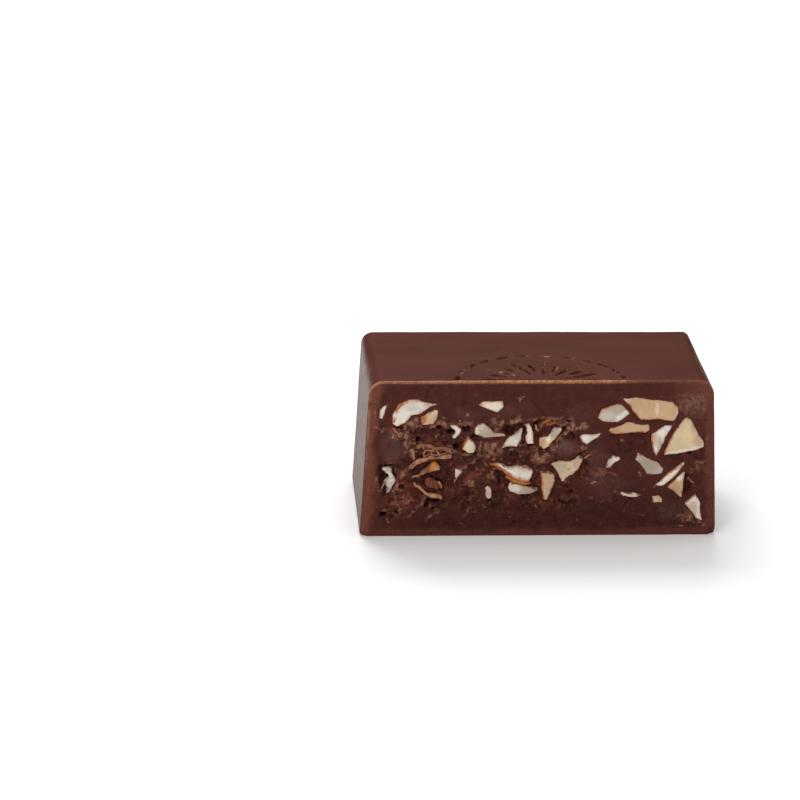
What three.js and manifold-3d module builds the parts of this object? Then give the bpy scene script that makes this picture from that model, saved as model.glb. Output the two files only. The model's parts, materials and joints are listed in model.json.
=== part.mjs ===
// Half of a nut chocolate square: a moulded chocolate shell with a pressed ornament, the praline
// inside it, and the chopped nuts and brittle flakes that the knife has cut through.
// Millimetres, +Z up. The cut face looks along -Y, and the half stands on its base with the
// origin under the middle of its bounding box.

import * as THREE from 'three';
import { mergeVertices } from 'three/addons/utils/BufferGeometryUtils.js';
import Module from 'manifold-3d';

const wasm = await Module();
wasm.setup();

// The moulded square.
const SIDE = 32; // side of the whole square at its base
const HEIGHT = 14.5;
const DRAFT = 0.7; // how far each wall leans in between base and top
const EDGE_RADIUS = 1.2; // top edge
const CORNER_RADIUS = 1.2; // upright corners, seen from above
const FOOT_RADIUS = 0.3;
const LEAST_EDGE = 0.6;
const ARC_STEPS = 6;
const CUT_Y = -SIDE / 4; // the cut runs through the middle of the whole square

// The shell's thickness, and the clearances that keep the pieces apart.
const WALL = 0.65;
const ROOF = 1.2;
const FLOOR = 0.8;
const GAP = 0.3;
const MERGE_DISTANCE = 1e-4;

// The pressed ornament: a broken ring of dashes round long and short rays, centred on the
// whole square. All angles are in degrees about that centre.
const ORNAMENT = {
  depth: 0.35,
  step: 15,
  first: 7.5,
  ringRadius: 7.5,
  dashSweep: 9,
  dashWidth: 0.42,
  dashSteps: 4,
  longRay: { inner: 2.1, outer: 6.0 },
  shortRay: { inner: 3.1, outer: 5.0 },
  rayWidth: 0.62,
  rayWidest: 0.62, // share of a ray's length, from the centre, at which it is widest
  narrowing: 0.35, // width at a groove's bottom over its width at the surface
};

// The torn part of the cut face, where the knife has pulled crumbs out of the praline.
const TORN = {
  left: -14.3,
  right: 5.2,
  bottom: 1.6,
  top: 10.4,
  fade: 1.6,
  depth: 0.75,
  columns: 46,
  rows: 20,
  mean: 0.5,
  waves: [
    { share: 0.3, alongX: 2.1, alongZ: 0.8 },
    { share: 0.2, alongX: -1.3, alongZ: 3.3 },
  ],
};
const HOLLOWS = [
  { x: -13.35, z: 6.1, radius: 1.1, depth: 1.1 },
  { x: -13.05, z: 2.0, radius: 0.8, depth: 0.8 },
  { x: -8.8, z: 6.5, radius: 1.5, depth: 0.9 },
  { x: -11.1, z: 9.5, radius: 1.3, depth: 0.6 },
  { x: -5.4, z: 7.0, radius: 1.2, depth: 0.7 },
  { x: -0.6, z: 7.4, radius: 1.3, depth: 0.5 },
];

const COLOURS = {
  shell: '#5d3c33',
  praline: '#492b23',
  white: '#cabdb0',
  cream: '#cfb98f',
  tan: '#ceae86',
  grey: '#968d80',
  brittle: '#8a5634',
};
const ROUGHNESS = { shell: 0.42, praline: 0.6, nut: 0.55, flake: 0.5 };

// Pieces that the cut crosses, each with the corners of its outline on the cut face as pairs of
// x and z, anticlockwise. deep is how far it runs behind the cut, and inset sets it back from it.
const NUTS = [
  { tone: 'white', deep: 1.6, corners: [
    [-14.5, 11.1], [-14.15, 10.95], [-13.9, 11.5], [-13.6, 12.4], [-13.8, 12.4], [-14.3, 11.9],
  ] },
  { tone: 'white', deep: 3, corners: [
    [-12.8, 10.4], [-12.1, 10.7], [-11.55, 11.35], [-10.7, 11.55], [-9.9, 12.15], [-9.2, 12.4],
    [-10.2, 12.55], [-10.9, 12.85], [-11.9, 12.8], [-12.7, 12.45], [-13.2, 11.5], [-13.2, 10.65],
  ] },
  { tone: 'tan', deep: 2, corners: [
    [-10.6, 10.4], [-9.5, 10.5], [-9.25, 11.1], [-9.15, 11.8], [-9.5, 11.9], [-10.2, 11.5],
    [-10.75, 11.2],
  ] },
  { tone: 'cream', deep: 1.8, corners: [
    [-4.6, 11.85], [-3.9, 11.6], [-3.4, 12.1], [-3.4, 12.65], [-5.2, 12.65], [-5.6, 12.3],
  ] },
  { tone: 'white', deep: 1.4, corners: [
    [-7.9, 10.15], [-7.6, 10], [-7.6, 9.7], [-7.9, 9.3], [-7.6, 9.2], [-7.2, 9.6], [-7.1, 10.1],
    [-7.5, 10.5], [-8, 10.4],
  ] },
  { tone: 'grey', deep: 2.4, corners: [
    [-5.9, 9.65], [-5, 9.25], [-3.2, 9.4], [-3.15, 9.6], [-4.2, 9.75], [-4.7, 10.25], [-5.1, 10.65],
    [-5.7, 10.5], [-6, 10],
  ] },
  { tone: 'cream', deep: 2, corners: [
    [-6.8, 8.7], [-7, 8.2], [-6.5, 7.85], [-5.95, 7.85], [-5.7, 8.3], [-6.05, 9], [-6.5, 9.4],
  ] },
  { tone: 'white', deep: 2.2, corners: [
    [-1.55, 10.05], [-2.2, 9.6], [-2.9, 9.25], [-3.5, 8.15], [-3, 8.45], [-2.1, 8.4], [-1.75, 9.1],
  ] },
  { tone: 'white', deep: 1.8, corners: [
    [-1.2, 10.2], [-1.15, 9.7], [-1.4, 9.3], [-1.2, 8.6], [-0.65, 8.7], [-0.75, 10.2], [-1, 10.65],
    [-1.5, 10.5],
  ] },
  { tone: 'cream', deep: 2.2, corners: [
    [1.95, 10.15], [1.25, 10.15], [0.6, 9.35], [-0.1, 9.25], [-0.15, 8.5], [0.3, 8.15], [0.8, 8.45],
    [1.3, 9.15], [1.85, 9.75],
  ] },
  { tone: 'white', deep: 1.7, corners: [
    [3.8, 8.85], [4.15, 8.6], [4.5, 8.9], [5.2, 9.35], [5.35, 9.7], [4.7, 9.45], [3.7, 9.55],
    [3.5, 9.25],
  ] },
  { tone: 'grey', deep: 2.6, corners: [
    [5.55, 10.8], [6.7, 10.6], [7.55, 11], [8, 11.4], [7.15, 12.3], [6.65, 12.4], [5.45, 11.9],
    [5.05, 11.15],
  ] },
  { tone: 'tan', deep: 3.2, corners: [
    [7.85, 12.2], [8.15, 11.6], [8.85, 10.95], [11.9, 10.8], [12.25, 11.5], [12.15, 12.1],
    [11.65, 12.6], [8.35, 12.95], [7.1, 12.9],
  ] },
  { tone: 'tan', deep: 2.4, corners: [
    [6.3, 9.6], [9.4, 9.65], [9.75, 9.9], [9.65, 10.45], [8.55, 10.5], [8.05, 10.7], [7.65, 10.7],
    [7.15, 10.45], [6.2, 10.1], [6.05, 9.85],
  ] },
  { tone: 'white', deep: 2, corners: [
    [9.85, 9], [10.1, 7.9], [10.35, 7.5], [10.8, 8.3], [11.35, 9.5], [11.85, 10.4], [11.15, 10.4],
    [9.9, 9.5],
  ] },
  { tone: 'cream', deep: 3.2, corners: [
    [12.05, 10], [11.05, 7.9], [11.1, 7.5], [12.45, 7.65], [13.75, 8], [14.6, 8.3], [14.6, 8.75],
    [14.05, 9.8], [13.45, 10.85], [12.95, 11.2],
  ] },
  { tone: 'grey', deep: 2.2, corners: [
    [8.9, 6.8], [9.6, 5.85], [9.9, 5.7], [11, 5.85], [11.15, 6.35], [10.4, 6.9], [8.75, 7.8],
    [8.55, 7.2],
  ] },
  { tone: 'white', deep: 1.4, corners: [
    [6, 6.3], [6.3, 6.4], [6.7, 6.9], [7.3, 7.1], [7.1, 7.4], [6.5, 7.5], [6.05, 7.1], [5.85, 6.5],
  ] },
  { tone: 'white', deep: 1.8, corners: [
    [10.9, 4.6], [11.2, 4.75], [12, 5.45], [13, 6.7], [12.95, 6.9], [12, 6.3], [10.35, 4.75],
  ] },
  { tone: 'tan', deep: 2.2, corners: [[13.1, 6.05], [12.75, 5.95], [11.5, 4.55], [12.8, 3.55]] },
  { tone: 'white', deep: 2, corners: [
    [13.8, 2.2], [14.2, 1.6], [14.8, 1.4], [14.6, 2.2], [14.55, 3.1], [14.1, 3.95], [13.1, 3.1],
  ] },
  { tone: 'white', deep: 2.6, corners: [
    [-3.3, 6.1], [-2.6, 5.35], [-1.9, 5.15], [-1, 5.1], [-0.7, 5.6], [-0.6, 6.1], [-1.2, 6.5],
    [-2.1, 6.5], [-2.9, 6.4], [-3.6, 6.85], [-4.5, 6.7],
  ] },
  { tone: 'grey', deep: 2, corners: [
    [-2.6, 4.15], [-1.9, 3.9], [-0.9, 4], [-0.1, 4.4], [-0.9, 4.6], [-1.8, 4.85], [-2.5, 4.95],
    [-2.75, 4.6],
  ] },
  { tone: 'tan', deep: 2.2, corners: [
    [0.15, 5], [0.4, 3.4], [0.75, 3.4], [1.05, 4.1], [1.4, 5.2], [1.3, 5.75], [0.8, 6.05], [0.05, 6],
  ] },
  { tone: 'cream', deep: 2, corners: [
    [1.7, 5.9], [2.05, 5.05], [2.7, 5.65], [3.4, 6.2], [3.85, 7.25], [3.5, 7.4], [3, 7], [1.9, 6.95],
    [1.05, 6.65],
  ] },
  { tone: 'white', deep: 1.2, corners: [
    [7.6, 3.65], [8.8, 3.6], [9.3, 3.8], [8.4, 4.05], [7.4, 4.1], [7.2, 3.95],
  ] },
  { tone: 'tan', deep: 1, corners: [
    [10.3, 3.05], [11.1, 3.1], [11.1, 3.4], [10.8, 3.75], [10.2, 3.7],
  ] },
  { tone: 'white', deep: 1.6, inset: 0.5, corners: [
    [-13.65, 5.85], [-13.5, 5.35], [-13.95, 4.85], [-13.55, 4.45], [-13.8, 3.7], [-13.4, 3.85],
    [-13.1, 4.45], [-12.8, 4.95], [-13, 5.65], [-13.35, 6.25], [-13.95, 6.2],
  ] },
  { tone: 'white', deep: 1.2, inset: 0.2, corners: [
    [-7.55, 5.7], [-7.5, 5.35], [-7.2, 5.6], [-6.95, 5.95], [-6.85, 6.15], [-7.6, 6.25],
  ] },
  { tone: 'white', deep: 1.1, corners: [
    [-4.7, 3.6], [-4.4, 3.55], [-4.25, 3.75], [-4.25, 4.4], [-4.6, 4.75], [-4.8, 4.5],
  ] },
];
const FLAKES = [
  { tone: 'brittle', deep: 1.8, inset: 0.2, corners: [
    [-10.6, 8.35], [-9.9, 8.25], [-8.9, 8], [-7.95, 8], [-7.9, 8.25], [-8.9, 8.3], [-9.9, 8.6],
    [-10.6, 8.7], [-11.05, 8.35], [-11.35, 8],
  ] },
  { tone: 'brittle', deep: 1.8, inset: 0.2, corners: [
    [-11.55, 6.05], [-11.05, 6.6], [-10.25, 7.05], [-9.25, 7.2], [-7.9, 7.3], [-7.95, 7.6],
    [-9.2, 7.5], [-10.45, 7.35], [-11.25, 6.95], [-11.75, 6.4], [-12.05, 5.65],
  ] },
  { tone: 'brittle', deep: 1.6, inset: 0.2, corners: [
    [-10.25, 5.8], [-9.65, 6], [-8.9, 6.25], [-9, 6.55], [-9.4, 6.9], [-9.95, 6.6], [-10.35, 6.1],
    [-10.75, 5.6],
  ] },
  { tone: 'brittle', deep: 1.6, inset: 0.1, corners: [
    [-10.65, 4.2], [-10.15, 3.85], [-9.45, 3.6], [-8.7, 3.45], [-8.65, 3.75], [-9.35, 3.9],
    [-10.05, 4.15], [-10.55, 4.55], [-11.15, 5], [-11.25, 4.8],
  ] },
  { tone: 'brittle', deep: 1.2, inset: 0.3, corners: [
    [-9.65, 4.4], [-9.15, 4.25], [-8.8, 4.4], [-9, 4.9], [-9.4, 5.25], [-9.85, 5.45], [-10.2, 5.15],
    [-10.15, 4.7],
  ] },
  { tone: 'brittle', deep: 1.4, inset: 0.2, corners: [
    [-12.55, 2.7], [-11.75, 2.85], [-11.35, 3.15], [-11.4, 3.55], [-11.95, 3.65], [-13.05, 3.45],
    [-13.5, 3.25], [-13.55, 2.85],
  ] },
];

// How a chopped piece narrows with depth: share of its depth, and size there over size at the cut.
const DEPTH_STATIONS = [
  { at: 1, scale: 0.5 },
  { at: 0.72, scale: 0.86 },
  { at: 0.3, scale: 1 },
  { at: 0, scale: 1 },
];
const CLEARANCE_SIDES = 8; // of the small polygon that stands for a circle round a corner

// --- solids and meshes -------------------------------------------------------------------

function toSolid(geometry) {
  const bare = geometry.clone();
  bare.deleteAttribute('normal');
  bare.deleteAttribute('uv');
  const merged = mergeVertices(bare, MERGE_DISTANCE);
  const mesh = new wasm.Mesh({
    numProp: 3,
    vertProperties: Float32Array.from(merged.attributes.position.array),
    triVerts: Uint32Array.from(merged.index.array),
  });
  return new wasm.Manifold(mesh);
}

function toGeometry(solid) {
  const mesh = solid.getMesh();
  const geometry = new THREE.BufferGeometry();
  geometry.setAttribute('position', new THREE.BufferAttribute(mesh.vertProperties, 3));
  geometry.setIndex(new THREE.BufferAttribute(mesh.triVerts, 1));
  geometry.computeVertexNormals();
  return geometry;
}

// The largest body of a solid, without the crumbs that a cut can leave loose.
function mainBody(solid) {
  const bodies = solid.decompose();
  bodies.sort((a, b) => b.volume() - a.volume());
  return bodies[0];
}

// A closed solid through outlines of one point count, lowest first, each anticlockwise.
function loft(levels) {
  const count = levels[0].outline.length;
  const positions = levels.flatMap(({ outline, z }) => outline.flatMap((p) => [p.x, p.y, z]));
  const index = [];
  for (let level = 0; level < levels.length - 1; level += 1) {
    for (let i = 0; i < count; i += 1) {
      const a = level * count + i;
      const b = level * count + (i + 1) % count;
      index.push(a, b, b + count, a, b + count, a + count);
    }
  }
  const top = (levels.length - 1) * count;
  for (const [a, b, c] of THREE.ShapeUtils.triangulateShape(levels[0].outline, [])) {
    index.push(a, c, b);
  }
  for (const [a, b, c] of THREE.ShapeUtils.triangulateShape(levels.at(-1).outline, [])) {
    index.push(top + a, top + b, top + c);
  }
  const geometry = new THREE.BufferGeometry();
  geometry.setAttribute('position', new THREE.Float32BufferAttribute(positions, 3));
  geometry.setIndex(index);
  return geometry;
}

function block(min, max) {
  const size = new THREE.Vector3().subVectors(max, min);
  const geometry = new THREE.BoxGeometry(size.x, size.y, size.z);
  return geometry.translate(min.x + size.x / 2, min.y + size.y / 2, min.z + size.z / 2);
}

// --- the moulded square ------------------------------------------------------------------

// A square with round corners, centred on the whole piece.
function roundedSquare(half, radius) {
  const outline = [];
  for (let corner = 0; corner < 4; corner += 1) {
    const middle = new THREE.Vector2(half - radius, half - radius);
    middle.rotateAround(new THREE.Vector2(), corner * Math.PI / 2);
    for (let step = 0; step <= ARC_STEPS; step += 1) {
      const angle = (corner + step / ARC_STEPS) * Math.PI / 2;
      const x = middle.x + radius * Math.cos(angle);
      const y = middle.y + radius * Math.sin(angle);
      outline.push(new THREE.Vector2(x, y + CUT_Y));
    }
  }
  return outline;
}

// The square's form with every face moved in: the walls by `wall`, and the base and the top to
// the heights given. Its edges get sharper as it shrinks, down to a least radius.
function mouldedForm(wall, base, top) {
  const edge = Math.max(EDGE_RADIUS - wall, LEAST_EDGE);
  const corner = Math.max(CORNER_RADIUS - wall, LEAST_EDGE + FOOT_RADIUS);
  const halfAt = (z) => SIDE / 2 - wall - DRAFT * z / HEIGHT;
  const level = (z, inset) => ({ z, outline: roundedSquare(halfAt(z) - inset, corner - inset) });
  const levels = [level(base, FOOT_RADIUS), level(base + FOOT_RADIUS, 0)];
  for (let step = 0; step <= ARC_STEPS; step += 1) {
    const angle = step / ARC_STEPS * Math.PI / 2;
    levels.push(level(top - edge * (1 - Math.sin(angle)), edge * (1 - Math.cos(angle))));
  }
  return toSolid(loft(levels));
}

// Everything in front of the cut: the half that is gone.
function frontHalfSpace() {
  const min = new THREE.Vector3(-SIDE, -2 * SIDE, -SIDE);
  const max = new THREE.Vector3(SIDE, CUT_Y, SIDE);
  return toSolid(block(min, max));
}

// --- the pressed ornament ----------------------------------------------------------------

// A groove from a function that gives its outline for a width; it narrows towards its bottom.
// Its cutter stands as far above the surface as it goes in, so it is as wide as asked between.
function groove(outlineFor, width) {
  return toSolid(loft([
    { z: HEIGHT - ORNAMENT.depth, outline: outlineFor(width * ORNAMENT.narrowing) },
    { z: HEIGHT + ORNAMENT.depth, outline: outlineFor(width * (2 - ORNAMENT.narrowing)) },
  ]));
}

function polar(radius, degrees) {
  const angle = THREE.MathUtils.degToRad(degrees);
  return new THREE.Vector2(radius * Math.cos(angle), radius * Math.sin(angle) + CUT_Y);
}

// A long diamond that points at the ornament's centre.
function rayOutline({ inner, outer }, degrees, width) {
  const middle = inner + (outer - inner) * ORNAMENT.rayWidest;
  const side = THREE.MathUtils.radToDeg(width / 2 / middle);
  return [
    polar(inner, degrees),
    polar(middle, degrees - side),
    polar(outer, degrees),
    polar(middle, degrees + side),
  ];
}

function dashOutline(degrees, width) {
  const outline = [];
  for (let step = 0; step <= ORNAMENT.dashSteps; step += 1) {
    const along = (step / ORNAMENT.dashSteps - 0.5) * ORNAMENT.dashSweep;
    outline.push(polar(ORNAMENT.ringRadius + width / 2, degrees + along));
  }
  for (let step = ORNAMENT.dashSteps; step >= 0; step -= 1) {
    const along = (step / ORNAMENT.dashSteps - 0.5) * ORNAMENT.dashSweep;
    outline.push(polar(ORNAMENT.ringRadius - width / 2, degrees + along));
  }
  return outline;
}

function ornamentGrooves() {
  const grooves = [];
  const count = 180 / ORNAMENT.step;
  for (let i = 0; i < count; i += 1) {
    const degrees = ORNAMENT.first + i * ORNAMENT.step;
    const ray = i % 2 === 0 ? ORNAMENT.shortRay : ORNAMENT.longRay;
    grooves.push(groove((width) => rayOutline(ray, degrees, width), ORNAMENT.rayWidth));
    grooves.push(groove((width) => dashOutline(degrees, width), ORNAMENT.dashWidth));
  }
  return grooves;
}

// --- chopped pieces ----------------------------------------------------------------------

// Outline of a chopped piece on the cut face, scaled about its middle.
function choppedOutline({ corners }, scale) {
  const points = corners.map(([x, z]) => new THREE.Vector2(x, z));
  const middle = new THREE.Vector2();
  points.forEach((point) => middle.addScaledVector(point, 1 / points.length));
  return points.map((point) => point.clone().lerp(middle, 1 - scale));
}

// One side of the convex outline round points that are sorted along it, without its last point.
function hullSide(sorted) {
  const side = [];
  for (const point of sorted) {
    while (side.length > 1) {
      const along = side.at(-1).clone().sub(side.at(-2));
      const next = point.clone().sub(side.at(-1));
      if (along.cross(next) > 0) break;
      side.pop();
    }
    side.push(point);
  }
  return side.slice(0, -1);
}

// The convex outline, anticlockwise, that keeps a clearance to a piece's corners.
function clearanceOutline(piece) {
  const half = Math.PI / CLEARANCE_SIDES;
  const round = Array.from({ length: CLEARANCE_SIDES }, (_, side) => (
    new THREE.Vector2(GAP / Math.cos(half), 0).rotateAround(new THREE.Vector2(), (2 * side + 1) * half)
  ));
  const points = choppedOutline(piece, 1).flatMap((corner) => round.map((p) => p.clone().add(corner)));
  points.sort((a, b) => a.x - b.x || a.y - b.y);
  return [...hullSide(points), ...hullSide(points.reverse())];
}

// Turns a solid that was lofted along +Z so that it runs into the cut face.
function setIntoCut(geometry, front) {
  return geometry.rotateX(Math.PI / 2).translate(0, CUT_Y + front, 0);
}

// A chopped piece: its front lies in the cut, less its inset.
function choppedForm(piece) {
  const levels = DEPTH_STATIONS.map(({ at, scale }) => ({
    z: -at * piece.deep,
    outline: choppedOutline(piece, scale),
  }));
  return setIntoCut(loft(levels), piece.inset ?? 0);
}

// The room that a chopped piece takes in the praline, with clearance, open to the front.
function pocketForm(piece) {
  const reach = (piece.inset ?? 0) + piece.deep + 2 * GAP;
  const outline = clearanceOutline(piece);
  return setIntoCut(loft([{ z: -reach, outline }, { z: 0, outline }]), -GAP);
}

// --- the praline's cut face --------------------------------------------------------------

function plateau(value, low, high, fade) {
  const rise = THREE.MathUtils.smoothstep(value, low, low + fade);
  return rise * (1 - THREE.MathUtils.smoothstep(value, high - fade, high));
}

// How far the praline is torn back from the cut at a place on its face.
function tornDepth(x, z) {
  const inside = plateau(x, TORN.left, TORN.right, TORN.fade) * plateau(z, TORN.bottom, TORN.top, TORN.fade);
  let crumbs = TORN.mean;
  for (const { share, alongX, alongZ } of TORN.waves) {
    crumbs += share * Math.sin(alongX * x + alongZ * z);
  }
  let depth = TORN.depth * inside * crumbs;
  for (const hollow of HOLLOWS) {
    const away = Math.hypot(x - hollow.x, z - hollow.z) / hollow.radius;
    depth += hollow.depth * (1 - THREE.MathUtils.smoothstep(away, 0, 1));
  }
  return depth;
}

// What the knife has taken off the praline: a slab in front of it whose back follows the tear.
function tornSlab() {
  const geometry = new THREE.BoxGeometry(SIDE, SIDE, HEIGHT, TORN.columns, 1, TORN.rows);
  geometry.translate(0, CUT_Y - SIDE / 2, HEIGHT / 2);
  const position = geometry.attributes.position;
  for (let i = 0; i < position.count; i += 1) {
    if (position.getY(i) > CUT_Y - SIDE / 2) {
      position.setY(i, CUT_Y + tornDepth(position.getX(i), position.getZ(i)));
    }
  }
  return toSolid(geometry);
}

// --- the pieces --------------------------------------------------------------------------

function makeShell() {
  const cavity = mouldedForm(WALL, FLOOR, HEIGHT - ROOF);
  const outside = mouldedForm(0, 0, HEIGHT);
  const carved = ornamentGrooves().reduce((solid, cutter) => solid.subtract(cutter), outside);
  return carved.subtract(cavity).subtract(frontHalfSpace());
}

function makePraline(pieces) {
  const form = mouldedForm(WALL + GAP, FLOOR + GAP, HEIGHT - ROOF - GAP);
  const torn = form.subtract(tornSlab());
  const pockets = pieces.map((piece) => toSolid(pocketForm(piece)));
  return mainBody(pockets.reduce((solid, pocket) => solid.subtract(pocket), torn));
}

function addPiece(group, name, geometry, colour, roughness) {
  const material = new THREE.MeshStandardMaterial({ color: colour, roughness, metalness: 0 });
  const mesh = new THREE.Mesh(geometry, material);
  mesh.name = name;
  group.add(mesh);
}

function numbered(name, index) {
  return `${name}_${String(index + 1).padStart(2, '0')}`;
}

const square = new THREE.Group();
const praline = toGeometry(makePraline([...NUTS, ...FLAKES]));
addPiece(square, 'shell', toGeometry(makeShell()), COLOURS.shell, ROUGHNESS.shell);
addPiece(square, 'praline', praline, COLOURS.praline, ROUGHNESS.praline);
NUTS.forEach((nut, i) => {
  addPiece(square, numbered('nut', i), choppedForm(nut), COLOURS[nut.tone], ROUGHNESS.nut);
});
FLAKES.forEach((flake, i) => {
  addPiece(square, numbered('flake', i), choppedForm(flake), COLOURS[flake.tone], ROUGHNESS.flake);
});

export default square;
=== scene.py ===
"""A moulded chocolate square, cut in half through its praline of chopped nuts and brittle.

Millimetres are used while a mesh is made, and metres in Blender. The cut face looks along -Y.
"""

import json
import math
import random
from types import SimpleNamespace

import bmesh
import bpy
import numpy as np
from bpy.props import FloatProperty, FloatVectorProperty, IntProperty, PointerProperty
from mathutils import Color, Matrix, Vector, noise
from mathutils.bvhtree import BVHTree


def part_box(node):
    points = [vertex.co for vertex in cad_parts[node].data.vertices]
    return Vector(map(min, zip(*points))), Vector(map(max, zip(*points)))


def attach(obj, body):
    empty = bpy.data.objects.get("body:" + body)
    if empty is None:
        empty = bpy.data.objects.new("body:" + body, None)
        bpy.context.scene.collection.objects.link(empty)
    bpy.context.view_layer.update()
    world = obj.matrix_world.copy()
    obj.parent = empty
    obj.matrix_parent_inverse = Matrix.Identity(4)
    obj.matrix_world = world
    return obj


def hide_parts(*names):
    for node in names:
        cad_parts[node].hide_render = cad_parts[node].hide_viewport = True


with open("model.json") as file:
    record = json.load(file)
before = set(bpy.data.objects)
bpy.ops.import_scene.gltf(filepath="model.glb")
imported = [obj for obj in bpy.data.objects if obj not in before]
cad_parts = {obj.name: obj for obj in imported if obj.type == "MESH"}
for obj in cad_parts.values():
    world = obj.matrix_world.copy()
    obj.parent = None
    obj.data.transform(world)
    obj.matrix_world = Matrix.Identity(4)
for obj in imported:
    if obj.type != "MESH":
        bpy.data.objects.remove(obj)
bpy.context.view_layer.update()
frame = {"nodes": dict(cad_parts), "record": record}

bl_info = {
    "name": "Cut Nut Chocolate Square",
    "version": (1, 0, 0),
    "blender": (4, 5, 0),
    "location": "View3D > Sidebar > Chocolate",
    "description": "Builds a moulded chocolate square, cut through its nut praline, on a plain stage",
    "category": "Object",
}

MM = 0.001
BODY = "root"
SHELL_LOW, SHELL_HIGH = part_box("shell")
FRONT = SHELL_LOW.y / MM  # the plane of the cut
# The uncut square is centred on the cut, and the half on the origin.
SIDE = -4 * FRONT
HEIGHT = SHELL_HIGH.z / MM


def display(red, green, blue):
    """The linear colour of display values from 0 to 255."""
    return tuple(((value / 255 + 0.055) / 1.055) ** 2.4 for value in (red, green, blue))


# --- what a user would change --------------------------------------------------------------


def length(name, millimetres, description):
    """A length in metres, given in millimetres."""
    return FloatProperty(
        name=name, description=description, default=millimetres * MM, min=0, precision=5,
        subtype="DISTANCE", unit="LENGTH",
    )


def colour(name, value, description):
    """A colour given as display values from 0 to 255."""
    return FloatVectorProperty(
        name=name, description=description, default=display(*value), size=3, min=0, max=1, subtype="COLOR",
    )


def piece_count(name, default, description):
    """A number of like pieces."""
    return IntProperty(name=name, description=description, default=default, min=0)


def view_angle(name, degrees, description):
    """An angle in radians, given in degrees."""
    return FloatProperty(
        name=name, description=description, default=math.radians(degrees), subtype="ANGLE", unit="ROTATION",
    )


def light_level(name, default, description, unit="NONE"):
    """A strength or a power of light."""
    return FloatProperty(name=name, description=description, default=default, min=0, unit=unit)


class ChocolateSizes(bpy.types.PropertyGroup):
    """Sizes of the moulded square and of the meshes that show it."""

    side: length("Side", SIDE, "Side of the uncut square at its base")
    height: length("Height", HEIGHT, "Height of the square")
    draft: length("Draft", 0.7, "How far each wall leans in between base and top")
    edge_radius: length("Edge radius", 1.3, "Radius of the top edge at both sides")
    corner_edge: length("Corner edge radius", 0.5, "Radius that the right top edge tapers to at the rear")
    rear_radius: length("Rear edge radius", 0.3, "Radius of the top edge at the rear")
    corner_radius: length("Corner radius", 0.6, "Radius of the upright corners")
    foot_radius: length("Foot radius", 0.3, "Radius of the edge at the base")
    wall: length("Wall", 0.65, "Thickness of the shell's walls")
    roof: length("Roof", 1.2, "Thickness of the shell's top")
    floor: length("Floor", 0.8, "Thickness of the shell's base")
    shell_grid: length("Shell grid", 0.1, "Spacing of the shell's mesh round the pressed ornament")
    face_grid: length("Face grid", 0.08, "Spacing of the mesh of the praline's cut face")
    nut_grid: length("Nut grid", 0.065, "Spacing of the meshes of the chopped nuts")
    crumbs: piece_count("Crumbs", 170, "How many crumbs lie in the torn praline")
    specks: piece_count("Specks", 120, "How many specks of nut show in the cut")


class ChocolateColours(bpy.types.PropertyGroup):
    """Colours of the finishes."""

    shell: colour("Shell", (80, 40, 29), "Moulded faces of the shell")
    rind: colour("Rind", (124, 72, 56), "Shell where the knife went through it, at both sides")
    # The burr colour is partly the scraped edge's own colour and partly a painted highlight along the rim.
    burr: colour("Burr", (232, 158, 112), "Thin scraped edge along the cut")
    praline: colour("Praline", (80, 38, 32), "Smooth cut praline")
    praline_low: colour("Low praline", (73, 36, 28), "Gritty praline near the base")
    praline_warm: colour("Warm praline", (118, 60, 42), "Warmer patches of the praline")
    praline_cool: colour("Cool praline", (106, 73, 67), "Greyer, bloomed patches of the praline")
    # Painted shade: darkens the bottoms of the torn hollows.
    praline_deep: colour("Deep praline", (36, 18, 13), "Bottoms of the torn hollows")
    # Also painted as a highlight on proud tips of the torn praline.
    crest: colour("Crest", (170, 122, 98), "Crumbled crests in the torn praline")
    # Also painted over bevelled facets as their highlight.
    nut_white: colour("White nut", (245, 235, 221), "Freshly cut, pale nut")
    nut_cream: colour("Cream nut", (232, 207, 163), "Cream nut")
    nut_tan: colour("Tan nut", (214, 176, 132), "Lightly roasted nut")
    nut_grey: colour("Grey nut", (194, 179, 158), "Nut with a film of chocolate on it")
    nut_cool: colour("Cool nut", (196, 194, 200), "Bluish, glassy patches of a nut")
    # Also lends the painted highlight on the rim's rosy left arc.
    nut_rosy: colour("Rosy nut", (208, 168, 142), "Pinkish patches of a nut")
    skin: colour("Skin", (176, 92, 36), "Roasted nut skin")
    brittle: colour("Brittle", (128, 62, 39), "Caramel-brown brittle flakes")
    brittle_edge: colour("Brittle edge", (198, 148, 114), "Broken edges of the flakes")
    amber: colour("Amber", (222, 138, 44), "Glassy amber brittle")


class StageSettings(bpy.types.PropertyGroup):
    """Camera, floor and lights."""

    camera_place: FloatVectorProperty(
        name="Camera place", description="Where the camera stands", default=(-0.03033, -0.29641, 0.10689),
        size=3, subtype="TRANSLATION", unit="LENGTH", precision=5,
    )
    azimuth: view_angle("Azimuth", -3.522, "Turn of the view round the square")
    elevation: view_angle("Elevation", 18.034, "How far the camera looks down")
    roll: view_angle("Roll", 0.932, "Turn of the camera about its own axis")
    lens: FloatProperty(name="Lens", description="Focal length in millimetres", default=154.81, min=1)
    floor_size: length("Floor size", 4000, "Side of the floor")
    floor_colour: colour("Floor", (250, 249, 248), "Pale floor")
    sky: light_level("Sky", 1.5, "Strength of the light from straight above")
    horizon: light_level("Horizon", 0.06, "Strength of the light from all round")
    key: light_level("Key", 1.9, "Power of the soft light behind", unit="POWER")
    fill: light_level("Fill", 0.55, "Power of the light at the front", unit="POWER")


def measures():
    """The sizes in millimetres, and the counts."""
    sizes = bpy.context.scene.chocolate_sizes
    names = [name for name in sizes.__annotations__ if name not in ("crumbs", "specks")]
    found = {name: getattr(sizes, name) / MM for name in names}
    return SimpleNamespace(crumbs=sizes.crumbs, specks=sizes.specks, **found)


# --- numbers on points and grids -----------------------------------------------------------

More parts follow.
